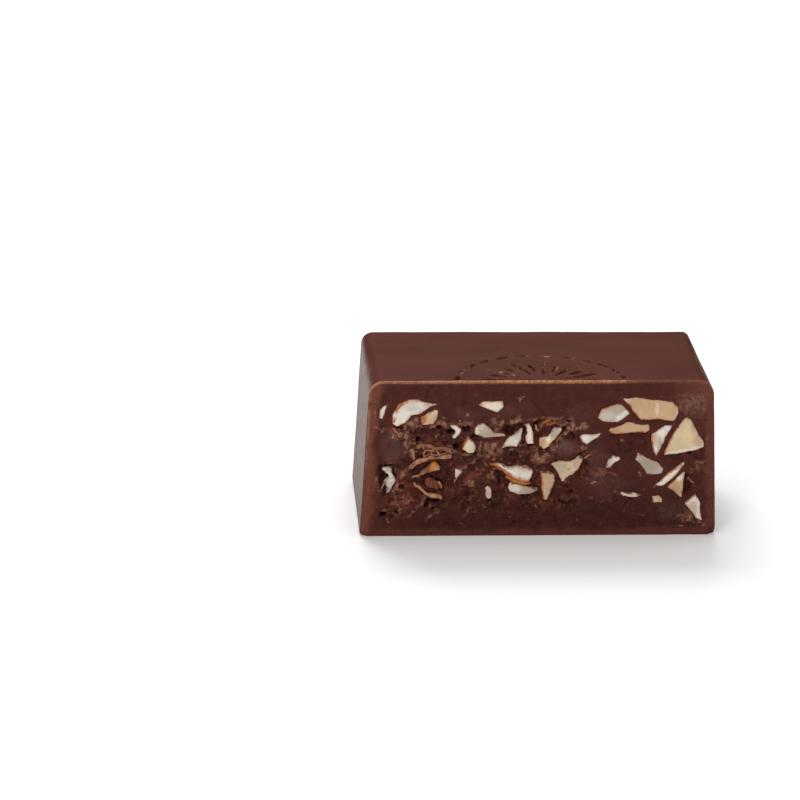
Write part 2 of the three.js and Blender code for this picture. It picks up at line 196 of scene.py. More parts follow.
# How fast the octaves of noise weaken, and how much finer each is than the one before.
FALL_OFF, FINER = 1.0, 2.0
# How far a seed moves the noise along each axis, so that each seed has its own part of it.
LUMP_SHIFT = (1, 2.7, 5.1)
CELL_SHIFT = (1, 1.9, 4.3)


def smoothstep(low, high, value):
    """0 below low, 1 above high, and a smooth rise between them."""
    share = np.clip((value - low) / (high - low), 0, 1)
    return share * share * (3 - 2 * share)


def hump(distance, width):
    """1 at distance 0, and a smooth fall to almost 0 at twice the width."""
    return np.exp(-((distance / width) ** 2))


def seed_shift(seed, steps):
    """How far a seed moves the noise."""
    return Vector([seed * step for step in steps])


def lumps(points, size, octaves=3, seed=0.0):
    """Smooth noise about 0 at points in millimetres; size is the length of its largest lumps."""
    shift = seed_shift(seed, LUMP_SHIFT)
    return np.array([noise.fractal(Vector(p) + shift, FALL_OFF, FINER, octaves) for p in points / size])


def mottled(points, middle, swing, size, octaves, seed, low=0.0, high=1.0):
    """Noise that swings about a middle, kept from low to high: it makes marks patchy."""
    return np.clip(middle + swing * lumps(points, size, octaves, seed), low, high)


def drift(points, reach, size, octaves, seeds):
    """Small smooth shifts at points, with one seed for each direction."""
    return np.stack([reach * lumps(points, size, octaves, seed) for seed in seeds], -1)


def ridges(points, size, octaves=3, seed=0.0):
    """Noise from 0 with sharp crests up to about 1."""
    return 1 - np.clip(np.abs(lumps(points, size, octaves, seed)) * 2.2, 0, 1)


def cells(points, size, seed=0.0):
    """For random cells about size across: distance to a point's own centre, and to its border."""
    shift = seed_shift(seed, CELL_SHIFT)
    found = np.array([noise.voronoi(Vector(p) + shift)[0] for p in points / size])
    return found[:, 0], found[:, 1] - found[:, 0]


def blurred(grid, reach):
    """A grid's values averaged over about reach steps each way."""
    kernel = np.hanning(2 * reach + 3)[1:-1]
    kernel /= kernel.sum()

    def smooth_line(line):
        return np.convolve(np.pad(line, reach, mode="edge"), kernel, "valid")

    for axis in (0, 1):
        grid = np.apply_along_axis(smooth_line, axis, grid)
    return grid


def spaced(start, stop, step):
    """Even values from start to stop, both included, about step apart."""
    return np.linspace(start, stop, max(2, round(abs(stop - start) / step) + 1))


def flattened(places):
    """Places on the cut, across and up, as points of the plane y = 0."""
    return np.insert(places, 1, 0.0, axis=1)


# --- the moulded form ----------------------------------------------------------------------

ARC_STEPS = 10  # points round each edge of a section
INNER_RADIUS = 0.6  # top edge of the filling
CORNER_LEAN = 0.36  # how far the right wall moves in at the rear, over the fall of its edge's radius
TAPER_REACH = 9.0  # length over which the top edges' radii fall towards the rear
LEFT_TAPER = 0.7  # the left top edge's radius at the rear, over the one at the cut
ORNAMENT_REACH = 8.3  # the shell's mesh is fine this far from the ornament's centre
COARSE = 2.2  # spacing elsewhere, over the fine spacing
BAND_ROWS = 9  # rows of the mesh across the shell's cut


def station_sets(m):
    """Places along the sides, top and base of a section, from 0 to 1 without the last."""
    flat = m.side / 2 - m.edge_radius
    outer = spaced(-flat, -ORNAMENT_REACH, COARSE * m.shell_grid)
    middle = spaced(-ORNAMENT_REACH, ORNAMENT_REACH, m.shell_grid)
    top = np.concatenate([outer[:-1], middle[:-1], -outer[::-1]])[:-1]
    side = spaced(0, 1, 1.6 * m.shell_grid / m.height)[:-1]
    base = spaced(0, 1, 4 * m.shell_grid / m.side)[:-1]
    return SimpleNamespace(top=(top / flat + 1) / 2, side=side, base=base)


def section(m, stations, wall, base, roof, radius, right):
    """Closed loop round a section, clockwise from the front, moved in by wall, base and roof.

    The top edge has one radius at the left and another at the right.
    """
    half, low, high, foot = m.side / 2 - wall, base, m.height - roof, m.foot_radius
    turn = np.linspace(0, math.pi / 2, ARC_STEPS + 1)[:-1]
    rise = (low + foot) + stations.side * (high - radius - low - foot)
    fall = (high - right) - stations.side * (high - right - low - foot)
    run = -(half - radius) + stations.top * (2 * half - radius - right)
    back = (half - foot) - stations.base * 2 * (half - foot)
    across = [
        np.full_like(rise, -half), -half + radius - radius * np.cos(turn),
        run, half - right + right * np.sin(turn),
        np.full_like(fall, half), half - foot + foot * np.cos(turn),
        back, -half + foot - foot * np.sin(turn),
    ]
    up = [
        rise, high - radius + radius * np.sin(turn),
        np.full_like(run, high), high - right + right * np.cos(turn),
        fall, low + foot - foot * np.sin(turn),
        np.full_like(back, low), low + foot - foot * np.cos(turn),
    ]
    return np.concatenate(across), np.concatenate(up)


def leaned(m, across, back, up):
    """Points in the frame: walls lean in as they rise, towards the uncut square's centre."""
    scale = 1 - m.draft * up / (m.height * m.side / 2)
    return np.stack([across * scale, FRONT + back * scale, up], -1)


def arc_inset(radius, depth, limit):
    """How far a face has moved in at a depth, where it rounds off over radius before limit."""
    over = np.clip(depth - (limit - radius), 0, radius)
    return radius - math.sqrt(max(radius * radius - over * over, 0))


def tube_faces(rows, count):
    """Quads between closed loops of count points, with a fan at the first and the last point."""
    index = 1 + np.arange(rows * count).reshape(rows, count)
    index = np.hstack([index, index[:, :1]])
    quads = np.stack([index[:-1, :-1], index[:-1, 1:], index[1:, 1:], index[1:, :-1]], -1).reshape(-1, 4)
    last = rows * count + 1
    first_fan = [(0, b, a) for a, b in zip(index[0, :-1].tolist(), index[0, 1:].tolist())]
    last_fan = [(a, b, last) for a, b in zip(index[-1, :-1].tolist(), index[-1, 1:].tolist())]
    return quads.tolist() + first_fan + last_fan


def shell_loops(m):
    """The shell's loops: from the far end of its inside, over the cut's rim, to its rear wall."""
    stations = station_sets(m)
    half = m.side / 2
    loops = []

    def add(kind, wall, base, roof, radius, back, shrink=1.0, right=None):
        across, up = section(m, stations, wall, base, roof, radius, radius if right is None else right)
        if right is not None:
            narrow = 1 - CORNER_LEAN * (m.edge_radius - right) / half
            across = np.where(across > 0, across * narrow, across)
        middle = m.height / 2
        loops.append((kind, across * shrink, np.full_like(across, back), middle + (up - middle) * shrink))

    inside_depth = half - m.wall
    end = INNER_RADIUS
    for shrink in (0.4, 0.8, 1.0):
        add("inside", m.wall + end, m.floor, m.roof + end, end / 2, inside_depth, shrink)
    for back in (inside_depth - end, 0.6 * inside_depth, 0.25 * inside_depth, 0.8, 0.25):
        add("inside", m.wall, m.floor, m.roof, end, back)
    for row in range(BAND_ROWS + 1):
        share = row / BAND_ROWS
        radius = INNER_RADIUS + (m.edge_radius - INNER_RADIUS) * share
        add("band", m.wall * (1 - share), m.floor * (1 - share), m.roof * (1 - share), radius, 0.0)
    fine = spaced(0, ORNAMENT_REACH, m.shell_grid)[1:]
    coarse = spaced(ORNAMENT_REACH, half - m.corner_radius, COARSE * m.shell_grid)[1:]
    turn = np.linspace(0, math.pi / 2, ARC_STEPS + 3)[1:]
    corner = half - m.corner_radius + m.corner_radius * np.sin(turn)
    for back in np.concatenate([fine, coarse, corner]):
        wall = arc_inset(m.corner_radius, back, half)
        roof = arc_inset(m.rear_radius, back, half)
        base = arc_inset(m.foot_radius, back, half)
        taper = smoothstep(half - TAPER_REACH, half - m.corner_radius, back)
        right = m.edge_radius + (m.corner_edge - m.edge_radius) * taper
        left = m.edge_radius + (LEFT_TAPER * m.edge_radius - m.edge_radius) * taper
        add("outside", wall, base, roof, left, back, right=right)
    for shrink in np.linspace(1, 0, 15)[1:-1]:
        add("outside", m.corner_radius, m.foot_radius, m.rear_radius, left, half, shrink, right)
    return loops


# --- CAD surfaces --------------------------------------------------------------------------


def cad_tree(node):
    """A search tree of a CAD node's mesh."""
    mesh = frame["nodes"][node].data
    points = [v.co.copy() for v in mesh.vertices]
    return BVHTree.FromPolygons(points, [tuple(p.vertices) for p in mesh.polygons])


def cad_distance(tree, origins, direction, reach):
    """Distance from each origin to the tree's surface along a direction, in millimetres, or reach."""
    ray = Vector(direction)
    found = [tree.ray_cast(Vector(p) * MM, ray, reach * MM)[3] for p in origins]
    return np.array([reach if hit is None else hit / MM for hit in found])


SAME_PLACE = 1e-6  # metres within which points count as one, or as lying in one plane


def front_outline(node):
    """Corners of a chopped piece's flat front in order, as across and up, and how far back it lies."""
    mesh = bmesh.new()
    mesh.from_mesh(frame["nodes"][node].data)
    bmesh.ops.remove_doubles(mesh, verts=mesh.verts, dist=SAME_PLACE)
    lowest = min(v.co.y for v in mesh.verts)
    front = {f for f in mesh.faces if all(v.co.y < lowest + SAME_PLACE for v in f.verts)}
    after = {}
    for face in front:
        for loop in face.loops:
            if not all(other in front for other in loop.edge.link_faces):
                after[loop.vert] = loop.link_loop_next.vert
    start = min(after, key=lambda vert: tuple(vert.co))
    corners, vert = [start], after[start]
    while vert is not start:
        corners.append(vert)
        vert = after[vert]
    outline = np.array([(v.co.x, v.co.z) for v in corners]) / MM
    mesh.free()
    return outline, lowest / MM - FRONT


def outline_distance(places, outline):
    """Signed distance to an outline, negative inside it, and the nearest edge's outward direction."""
    start, stop = outline, np.roll(outline, -1, axis=0)
    run = stop - start
    away = places[:, None, :] - start[None]
    share = np.clip((away * run).sum(-1) / (run * run).sum(-1), 0, 1)
    gap = np.linalg.norm(away - share[..., None] * run, axis=-1)
    nearest = gap.argmin(1)
    x, z = places[:, :1], places[:, 1:]
    spans = (start[:, 1] > z) != (stop[:, 1] > z)
    rise = np.where(run[:, 1] == 0, 1e-12, run[:, 1])
    crossing = start[:, 0] + (z - start[:, 1]) * run[:, 0] / rise
    inside = (spans & (x < crossing)).sum(1) % 2 == 1
    normal = np.stack([run[:, 1], -run[:, 0]], -1)
    area = (start[:, 0] * stop[:, 1] - stop[:, 0] * start[:, 1]).sum()
    normal *= np.sign(area) / np.linalg.norm(normal, axis=1, keepdims=True)
    distance = gap[np.arange(len(gap)), nearest]
    return np.where(inside, -distance, distance), normal[nearest]


def chopped_nodes(prefix):
    """The CAD's chopped pieces whose names start with prefix."""
    return sorted(node for node in frame["nodes"] if node.startswith(prefix))


def slot_of(node):
    """The record's material slot of a CAD node."""
    return next(part["material_slot"] for part in frame["record"]["subparts"] if part["node"] == node)


# --- finishes ------------------------------------------------------------------------------


# A Mix node's sockets: its share, then two inputs and an output for each kind of value.
MIX_SHARE = 0
NUMBER_SOCKETS = (2, 3, 0)
COLOUR_SOCKETS = (6, 7, 2)


class Nodes:
    """A node tree in the making, with short names for what is done to it."""

    def __init__(self, tree):
        self.tree = tree

    def add(self, kind, **settings):
        """A new node."""
        node = self.tree.nodes.new(kind)
        for name, value in settings.items():
            setattr(node, name, value)
        return node

    def link(self, source, target):
        """Links two sockets."""
        self.tree.links.new(source, target)

    def feed(self, socket, value):
        """Gives a socket a link, a colour or a number."""
        if isinstance(value, bpy.types.NodeSocket):
            self.link(value, socket)
        elif isinstance(value, (tuple, Color)):
            socket.default_value = (*value, 1)
        else:
            socket.default_value = value

    def mixed(self, kind, sockets, share, first, second):
        """A value of one kind between two others, by a share."""
        node = self.add("ShaderNodeMix", data_type=kind)
        self.feed(node.inputs[MIX_SHARE], share)
        self.feed(node.inputs[sockets[0]], first)
        self.feed(node.inputs[sockets[1]], second)
        return node.outputs[sockets[2]]


class Finish(Nodes):
    """A material in the making, with the steps that the finishes share."""

    def __init__(self, name, roughness, specular=0.5):
        self.material = bpy.data.materials.new(name)
        self.material.use_nodes = True
        super().__init__(self.material.node_tree)
        self.shader = self.tree.nodes["Principled BSDF"]
        self.shader.inputs["Roughness"].default_value = roughness
        self.shader.inputs["Specular IOR Level"].default_value = specular
        place = self.add("ShaderNodeVectorMath", operation="SCALE")
        place.inputs["Scale"].default_value = 1 / MM
        self.link(self.add("ShaderNodeTexCoord").outputs["Object"], place.inputs[0])
        self.place = place.outputs[0]

    def noise(self, size, detail=3.0, roughness=0.55, stretch=(1, 1, 1)):
        """Noise with lumps about size millimetres long, stretched along the axes given."""
        scaled = self.add("ShaderNodeVectorMath", operation="MULTIPLY")
        scaled.inputs[1].default_value = tuple(1 / (size * factor) for factor in stretch)
        self.link(self.place, scaled.inputs[0])
        node = self.add("ShaderNodeTexNoise")
        node.inputs["Scale"].default_value = 1.0
        node.inputs["Detail"].default_value = detail
        node.inputs["Roughness"].default_value = roughness
        self.link(scaled.outputs[0], node.inputs["Vector"])
        return node.outputs["Fac"]

    def mask(self, name):
        """A mask stored on the mesh."""
        return self.add("ShaderNodeAttribute", attribute_name=name).outputs["Fac"]

    def span(self, value, low, high, to_low=0.0, to_high=1.0):
        """A value taken from one range to another, smoothly."""
        node = self.add("ShaderNodeMapRange", interpolation_type="SMOOTHSTEP")
        self.link(value, node.inputs["Value"])
        for name, number in zip(("From Min", "From Max", "To Min", "To Max"), (low, high, to_low, to_high)):
            node.inputs[name].default_value = number
        return node.outputs["Result"]

    def combine(self, operation, first, second):
        """Two numbers put together by a Math node."""
        node = self.add("ShaderNodeMath", operation=operation)
        self.feed(node.inputs[0], first)
        self.feed(node.inputs[1], second)
        return node.outputs[0]

    def mix(self, share, first, second):
        """A colour between two, by a share."""
        return self.mixed("RGBA", COLOUR_SOCKETS, share, first, second)

    def clouded(self, cloud, base, dark, light):
        """A colour between two shades of itself, by a noise."""
        share = self.span(cloud, 0.3, 0.7)
        return self.mix(share, scaled_colour(base, dark), scaled_colour(base, light))

    def painted(self, tone, **layers):
        """A colour with others laid over it in the order given, each by the mask of its name."""
        for mask, over in layers.items():
            tone = self.mix(self.mask(mask), tone, over)
        return tone

    def bump(self, height, depth, normal=None):
        """A fine relief of up to depth millimetres."""
        node = self.add("ShaderNodeBump")
        node.inputs["Strength"].default_value = 1.0
        node.inputs["Distance"].default_value = depth * MM
        self.link(height, node.inputs["Height"])
        if normal is not None:
            self.link(normal, node.inputs["Normal"])
        return node.outputs["Normal"]

    def done(self, base, roughness=None, normal=None):
        """Links the finish's colour, roughness and relief to its shader."""
        self.link(base, self.shader.inputs["Base Color"])
        if roughness is not None:
            self.link(roughness, self.shader.inputs["Roughness"])
        if normal is not None:
            self.link(normal, self.shader.inputs["Normal"])
        return self.material


def scaled_colour(value, factor):
    """A lighter or darker shade of a colour."""
    return tuple(min(channel * factor, 1.0) for channel in value)


# How strongly the moulded chocolate reflects on its top and on its walls.
SHEEN = (0.03, 0.26)
# Tints of the moulded chocolate, as factors on red, green and blue: a red streak, and painted shade for the
# pressed lines.
RED_STREAK = (1.12, 0.8, 0.74)
GROOVE_SHADE = (0.55, 0.38, 0.36)


def tinted(value, factors):
    """A colour with a factor on each channel."""
    return tuple(channel * factor for channel, factor in zip(value, factors))


def moulded_finish(colours):
    """Tempered dark chocolate from a mould: a satin sheen with faint streaks and smudges, a scraped rim and
    ornament strokes with painted highlights, and painted shade in the pressed lines.
    """
    finish = Finish("moulded_shell", roughness=0.38)
    sheen = finish.span(finish.mask("wall"), 0, 1, *SHEEN)
    finish.link(sheen, finish.shader.inputs["Specular IOR Level"])
    base = colours.shell
    tone = finish.clouded(finish.noise(5.5, 4, 0.55, stretch=(1.8, 0.9, 0.9)), base, 0.88, 1.14)
    smudge = finish.noise(1.3, 5, 0.6, stretch=(3.2, 0.8, 0.9))
    pale = finish.combine("MULTIPLY", finish.span(smudge, 0.56, 0.85), 0.3)
    tone = finish.mix(pale, tone, scaled_colour(base, 1.7))
    red = finish.span(finish.noise(2.6, 4, 0.6, stretch=(3.6, 1.1, 1)), 0.52, 0.72, 0, 0.4)
    tone = finish.mix(red, tone, tinted(base, RED_STREAK))
    # Laid over: the rim's burr with painted highlights, a rosy painted highlight on the rim's left arc, and
    # painted shade in the pressed lines.
    tone = finish.painted(
        tone, worn=colours.burr, scraped=scaled_colour(colours.nut_rosy, 0.8),
        pressed=tinted(base, GROOVE_SHADE),
    )
    streak = finish.noise(0.7, 4, 0.55, stretch=(8, 0.6, 0.6))
    rough = finish.span(finish.combine("ADD", smudge, streak), 0.7, 1.35, 0.38, 0.5)
    fine = finish.bump(streak, 0.0025)
    fine = finish.bump(finish.noise(0.16, 3, 0.6), 0.003, fine)
    return finish.done(tone, rough, fine)


def cut_finish(name, colours):
    """Chocolate as the knife leaves it: mottled and smooth, gritty near the base, crumbly where it tore,
    with painted shade in hollows and painted highlights on tips and the rim.
    """
    finish = Finish(name, roughness=0.6, specular=0.1)
    base = colours.praline
    patches = finish.noise(2.6, 4, 0.6)
    tone = finish.painted(base, low=colours.praline_low)
    tone = finish.mix(finish.span(patches, 0.62, 0.36, 0, 0.35), tone, scaled_colour(base, 0.7))
    mottle = finish.noise(0.8, 4, 0.65)
    tone = finish.mix(finish.span(mottle, 0.5, 0.72, 0, 0.5), tone, scaled_colour(base, 1.6))
    tone = finish.mix(finish.span(mottle, 0.47, 0.3, 0, 0.6), tone, scaled_colour(base, 0.45))
    torn = finish.span(finish.noise(2.0, 3, 0.5), 0.38, 0.56, 0.15)
    torn = finish.combine("MULTIPLY", finish.mask("torn"), torn)
    clumps = finish.span(finish.noise(0.85, 4, 0.6), 0.46, 0.66, 0, 0.8)
    clumps = finish.combine("MULTIPLY", torn, clumps)
    tone = finish.mix(clumps, tone, scaled_colour(colours.praline_warm, 1.2))
    crumbs = finish.span(finish.noise(0.42, 3, 0.55), 0.56, 0.74, 0, 0.6)
    tone = finish.mix(finish.combine("MULTIPLY", torn, crumbs), tone, colours.crest)
    tone = finish.painted(tone, rind=colours.rind, cool=colours.praline_cool)
    warm = finish.span(finish.noise(0.7, 3), 0.3, 0.6, 0.3)
    warm = finish.combine("MULTIPLY", finish.mask("warm"), warm)
    tone = finish.mix(warm, tone, colours.praline_warm)
    # Painted shade in the deep hollows; pale crests with painted highlights on proud tips; the rim's burr
    # with painted highlights; a rosy painted highlight on the rim's left arc.
    tone = finish.painted(
        tone, deep=colours.praline_deep, crest=colours.crest, worn=colours.burr,
        scraped=scaled_colour(colours.nut_rosy, 0.6),
    )
    grit = finish.noise(0.22, 4, 0.7)
    # Dark grains sit in the bump's pits and light ones on its tops: speckled grit, partly painted shade and
    # painted highlight.
    for (low, high), factor in (((0.5, 0.36), 0.5), ((0.64, 0.8), 2.0)):
        grain_shade_and_highlight = finish.combine("MULTIPLY", finish.span(grit, low, high), finish.mask("grit"))
        tone = finish.mix(grain_shade_and_highlight, tone, scaled_colour(base, factor))
    rough = finish.span(patches, 0.3, 0.7, 0.5, 0.66)
    fine = finish.bump(grit, 0.022)
    return finish.done(tone, rough, fine)


def nut_finish(name, base, colours):
    """Cut nut flesh: waxy and clouded, with painted highlights on its bevelled facets, and roasted skin on
    some edges.
    """
    finish = Finish(name, roughness=0.46, specular=0.35)
    finish.shader.inputs["Subsurface Weight"].default_value = 0.15
    finish.shader.inputs["Subsurface Radius"].default_value = (1.0, 0.7, 0.4)
    finish.shader.inputs["Subsurface Scale"].default_value = 0.4 * MM
    tone = finish.clouded(finish.noise(1.8, 3, 0.5), base, 0.88, 1.06)
    tone = finish.painted(
        tone, dull=scaled_colour(colours.nut_grey, 0.75), cool=colours.nut_cool, rosy=colours.nut_rosy,
    )
    fibre = finish.noise(0.25, 4, 0.6, stretch=(1.6, 1, 1))
    tone = finish.mix(finish.span(fibre, 0.6, 0.85, 0, 0.25), tone, scaled_colour(base, 0.7))
    tone = finish.painted(
        tone, pale=colours.nut_white, skin=colours.skin, smear=scaled_colour(colours.praline_warm, 0.8),
    )
    return finish.done(tone, None, finish.bump(fibre, 0.02))


def brittle_finish(colours):
    """Caramel-brown flakes: glassy and amber inside, pale along their broken edges."""
    finish = Finish("brittle", roughness=0.42, specular=0.4)
    tone = finish.clouded(finish.noise(0.8, 4, 0.6), colours.brittle, 0.5, 1.15)
    tone = finish.painted(tone, amber=colours.amber, edge=colours.brittle_edge)
    lines = finish.noise(0.16, 3, 0.6, stretch=(6, 1, 1))
    return finish.done(tone, None, finish.bump(lines, 0.03))


def crumb_finish(name, base):
    """Loose crumbs and dust of one kind, each a little different."""
    finish = Finish(name, roughness=0.6, specular=0.25)
    tone = finish.clouded(finish.noise(0.5, 2, 0.5), base, 0.65, 1.25)
    return finish.done(tone, None, finish.bump(finish.noise(0.08, 3, 0.6), 0.015))


# --- putting pieces into the scene ---------------------------------------------------------


def add_piece(name, points, faces, nodes, materials, masks, crease=180):
    """Makes a mesh piece from points in millimetres, smooth up to crease degrees, with its masks."""
    mesh = bpy.data.meshes.new(name)
    mesh.from_pydata((points * MM).tolist(), [], faces)
    mesh.shade_smooth()
    if crease < 180:
        mesh.set_sharp_from_angle(angle=math.radians(crease))
    for mask, values in masks.items():
        layer = mesh.attributes.new(mask, "FLOAT", "POINT")
        layer.data.foreach_set("value", np.clip(values, 0, 1).astype(np.float32))
    for material in materials:
        mesh.materials.append(material)
    piece = bpy.data.objects.new(name, mesh)
    bpy.context.scene.collection.objects.link(piece)
    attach(piece, BODY)
    if nodes:
        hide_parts(*nodes)
    return piece


def point_normals(points, faces):
    """Outward directions at a mesh's points."""
    mesh = bpy.data.meshes.new("normals")
    mesh.from_pydata(points.tolist(), [], faces)
    normals = np.empty(len(points) * 3)
    mesh.vertex_normals.foreach_get("vector", normals)
    bpy.data.meshes.remove(mesh)
    return normals.reshape(-1, 3)


# --- the shell -----------------------------------------------------------------------------

# Chips out of the cut's rim, in millimetres: across, up, reach and depth.
CHIPS = [
    (15.9, 0.1, 0.7, 0.5), (15.6, 3.3, 0.4, 0.16), (13.4, 14.2, 0.5, 0.14), (-15.3, 12.6, 0.4, 0.12),
    (5.6, 14.6, 0.5, 0.12), (-16.0, 0.0, 0.6, 0.4),
]
RAY_START = 1.0  # a search for a CAD surface starts this far outside it
TOP_FACING = 0.97  # least upward part of a normal on the top face
ORNAMENT_LIMIT = 0.5  # the ornament is pressed no deeper
LIP_LIMIT = 0.05  # the chocolate pushed up round the ornament is no higher
BURR_REACH = 0.17  # how far the burr lies over the top face
BURR_DROP = 0.13  # how far it shows below the rim, on the cut
BURR_HEIGHT = 0.08
SHELL_CREASE = 60  # degrees from which an edge of the shell stays sharp
PRALINE_CREASE = 80


def cut_wave(points):
    """How far behind its plane the cut lies where the knife went through cleanly."""
    plane = flattened(points[:, [0, 2]])
    return 0.03 + 0.03 * lumps(plane, 1.8, 2, 31.0) + 0.006 * lumps(plane, 0.25, 2, 33.0)


def rind_share(m, points):
    """The lighter shell in the cut: clear at the left, faint at the right and along the base."""
    x, z = points[:, 0], points[:, 2]
    plane = flattened(points[:, [0, 2]])
    to_wall = (m.side / 2 - m.draft * z / m.height) - np.abs(x)
    share = smoothstep(1.25, 0.5, to_wall + 0.5 * lumps(plane, 2.4, 3, 35.0)) * np.where(x < 0, 0.85, 0.5)
    base = 0.45 * smoothstep(0.9, 0.3, z + 0.3 * lumps(plane, 1.2, 3, 39.0))
    corner = 0.7 * smoothstep(6.0, 1.0, np.hypot(x - m.side / 2, z - m.height))
    return np.maximum(share, np.maximum(base, corner))


def low_share(points):
    """The darker, gritty lower part of the cut, which ends short of the left wall."""
    x, z = points[:, 0], points[:, 2]
    uneven = z + 1.2 * lumps(flattened(points[:, [0, 2]]), 2.6, 3, 37.0)
    return smoothstep(5.6, 1.8, uneven) * smoothstep(-12.5, -9.0, x)


def ornament_depth(points, upward):
    """How deep the CAD shell's ornament is pressed below its top at points on the top face."""
    depth = np.zeros(len(points))
    near = upward & (np.hypot(points[:, 0], points[:, 1] - FRONT) < ORNAMENT_REACH)
    origins = points[near].copy()
    origins[:, 1] = np.maximum(origins[:, 1], FRONT + 0.01)
    origins[:, 2] = HEIGHT + RAY_START
    found = cad_distance(cad_tree("shell"), origins, (0, 0, -1), 2.0) - RAY_START
    depth[near] = np.clip(found, 0, ORNAMENT_LIMIT)
    return depth


def burr_share(m, points):
    """How strongly the scraped burr and its painted highlight show along the rim: most in the middle, least
    at the right.
    """
    x = points[:, 0]
    line = points * np.array([1, 0, 0])
    strength = 0.9 + 0.5 * lumps(line, 2.6, 2, 3.1) + 0.35 * lumps(line, 0.5, 2, 3.7)
    strength += 0.45 * hump(x - 0.5, 4.5)
    strength = np.clip(strength, 0.12, 1.4) * smoothstep(9.5, 6.0, x) + 0.18
    strength *= 1 - 0.25 * smoothstep(-6.0, -10.0, x)
    return strength * smoothstep(m.height - 3.0, m.height - 0.6, points[:, 2])


def with_ends(values, first=0.0, last=0.0):
    """Values at the points of all loops, with those of the first and the last point."""
    return np.concatenate([[first], np.ravel(values), [last]])


def ornament_relief(points, pressed, shape):
    """The pressed ornament, softened and partly filled in, and the low lip round it."""
    grid = pressed[1:-1].reshape(shape)
    filled = mottled(points, 0.62, 1.1, 2.4, 3, 21.0, low=0.12)
    soft = with_ends(0.4 * grid + 0.6 * blurred(grid, 1)) * filled
    wide = with_ends(blurred(grid, 4)) * filled
    return soft, np.clip(wide - soft, 0, LIP_LIMIT) * (soft < 0.08)


def left_arris(m, points):
    """A broken, lighter line down the upper part of the cut's left edge."""
    to_wall = m.side / 2 - m.draft * points[:, 2] / m.height + points[:, 0]
    line = hump(to_wall - 0.16, 0.1) * smoothstep(5.0, 8.5, points[:, 2])
    return line * mottled(points, 0.5, 0.8, 1.2, 3, 43.0, high=0.85)


def make_shell():
    """The shell as one closed mesh, with its ornament, burr and chips."""
    m = measures()
    loops = shell_loops(m)
    shape = len(loops), len(loops[0][1])
    across, back, up = (np.concatenate([loop[i] for loop in loops]) for i in (1, 2, 3))
    points = leaned(m, across, back, up)
    ends = leaned(m, np.zeros(2), np.array([back[0], back[-1]]), np.full(2, m.height / 2))
    points = np.vstack([ends[:1], points, ends[1:]])
    kinds = np.array(["inside"] + [kind for kind, *_ in loops for _ in range(shape[1])] + ["outside"])
    outside, band = kinds == "outside", kinds == "band"
    from_cut = with_ends(back, m.side, m.side)
    faces = tube_faces(*shape)
    normals = point_normals(points, faces)

    pressed = ornament_depth(points, outside & (normals[:, 2] > TOP_FACING))
    soft, lip = ornament_relief(points, pressed, shape)
    burr = burr_share(m, points)
    on_top = burr * hump(from_cut, BURR_REACH) * outside * smoothstep(0.1, 0.5, normals[:, 2])
    waves = 0.045 * lumps(points, 8.0, 2, 1.3) + 0.008 * lumps(points, 1.6, 3, 4.2)
    nicks = np.clip(ridges(points, 1.7, 3, 2.2) - 0.8, 0, 1) * np.exp(-from_cut / 0.3)
    lift = waves - soft + lip - 0.3 * nicks + BURR_HEIGHT * on_top
    lift *= outside * smoothstep(0, 0.5, points[:, 2])
    points += normals * lift[:, None]

    first_band = next(i for i, (kind, *_) in enumerate(loops) if kind == "band")
    row = with_ends(np.repeat(np.arange(shape[0]), shape[1]))
    to_rim = np.clip((BAND_ROWS - (row - first_band)) / BAND_ROWS, 0, 1) * m.roof
    points[:, 1] += np.where(band, cut_wave(points), 0)
    for x, z, reach, depth in CHIPS:
        gap = np.hypot(points[:, 0] - x, points[:, 2] - z) + 0.5 * np.clip(from_cut * outside, 0, 9)
        points[:, 1] += depth * smoothstep(reach, 0.3 * reach, gap + 0.3 * lumps(points, 0.5, 3, x))
    below = burr * band * hump(to_rim, BURR_DROP)
    points[:, 2] += 0.06 * below * (to_rim == 0)

    # Painted highlight along the rim: its colour is partly the scraped burr's own and partly light caught
    # there; the rosy left arc is painted highlight.
    rim = np.clip(1.15 * (on_top + below), 0, 1) * (0.75 + 0.5 * lumps(points, 0.25, 3, 14.0))
    rosy_rim_highlight = rim * smoothstep(-5.0, -9.0, points[:, 0]) * 0.6
    # Painted highlights: light flecks along the ornament's pressed strokes.
    stroke_highlights = 0.3 * smoothstep(0.25, 0.5, lumps(points, 0.4, 3, 12.0)) * (pressed > 0.05)
    masks = {
        "worn": rim + stroke_highlights,
        # Painted highlight on the rim's rosy left arc, and a lighter line down the cut's left edge.
        "scraped": np.maximum(rosy_rim_highlight, 0.8 * (band * left_arris(m, points))),
        "wall": smoothstep(0.75, 0.15, normals[:, 2]),
        # Painted shade: the pressed lines of the ornament are painted darker.
        "pressed": smoothstep(0.06, 0.3, soft) * 0.75,
        "rind": rind_share(m, points),
        "low": low_share(points),
        "grit": 0.4 * band,
    }
    colours = bpy.context.scene.chocolate_colours
    materials = [moulded_finish(colours), cut_finish("cut_shell", colours)]
    shell = add_piece(
        "chocolate_shell", points, faces, ["shell"], materials, masks, SHELL_CREASE,
    )
    cut = kinds != "outside"
    shell.data.polygons.foreach_set("material_index", [int(cut[list(face)].all()) for face in faces])
    shell.data.update()


# --- the praline ---------------------------------------------------------------------------

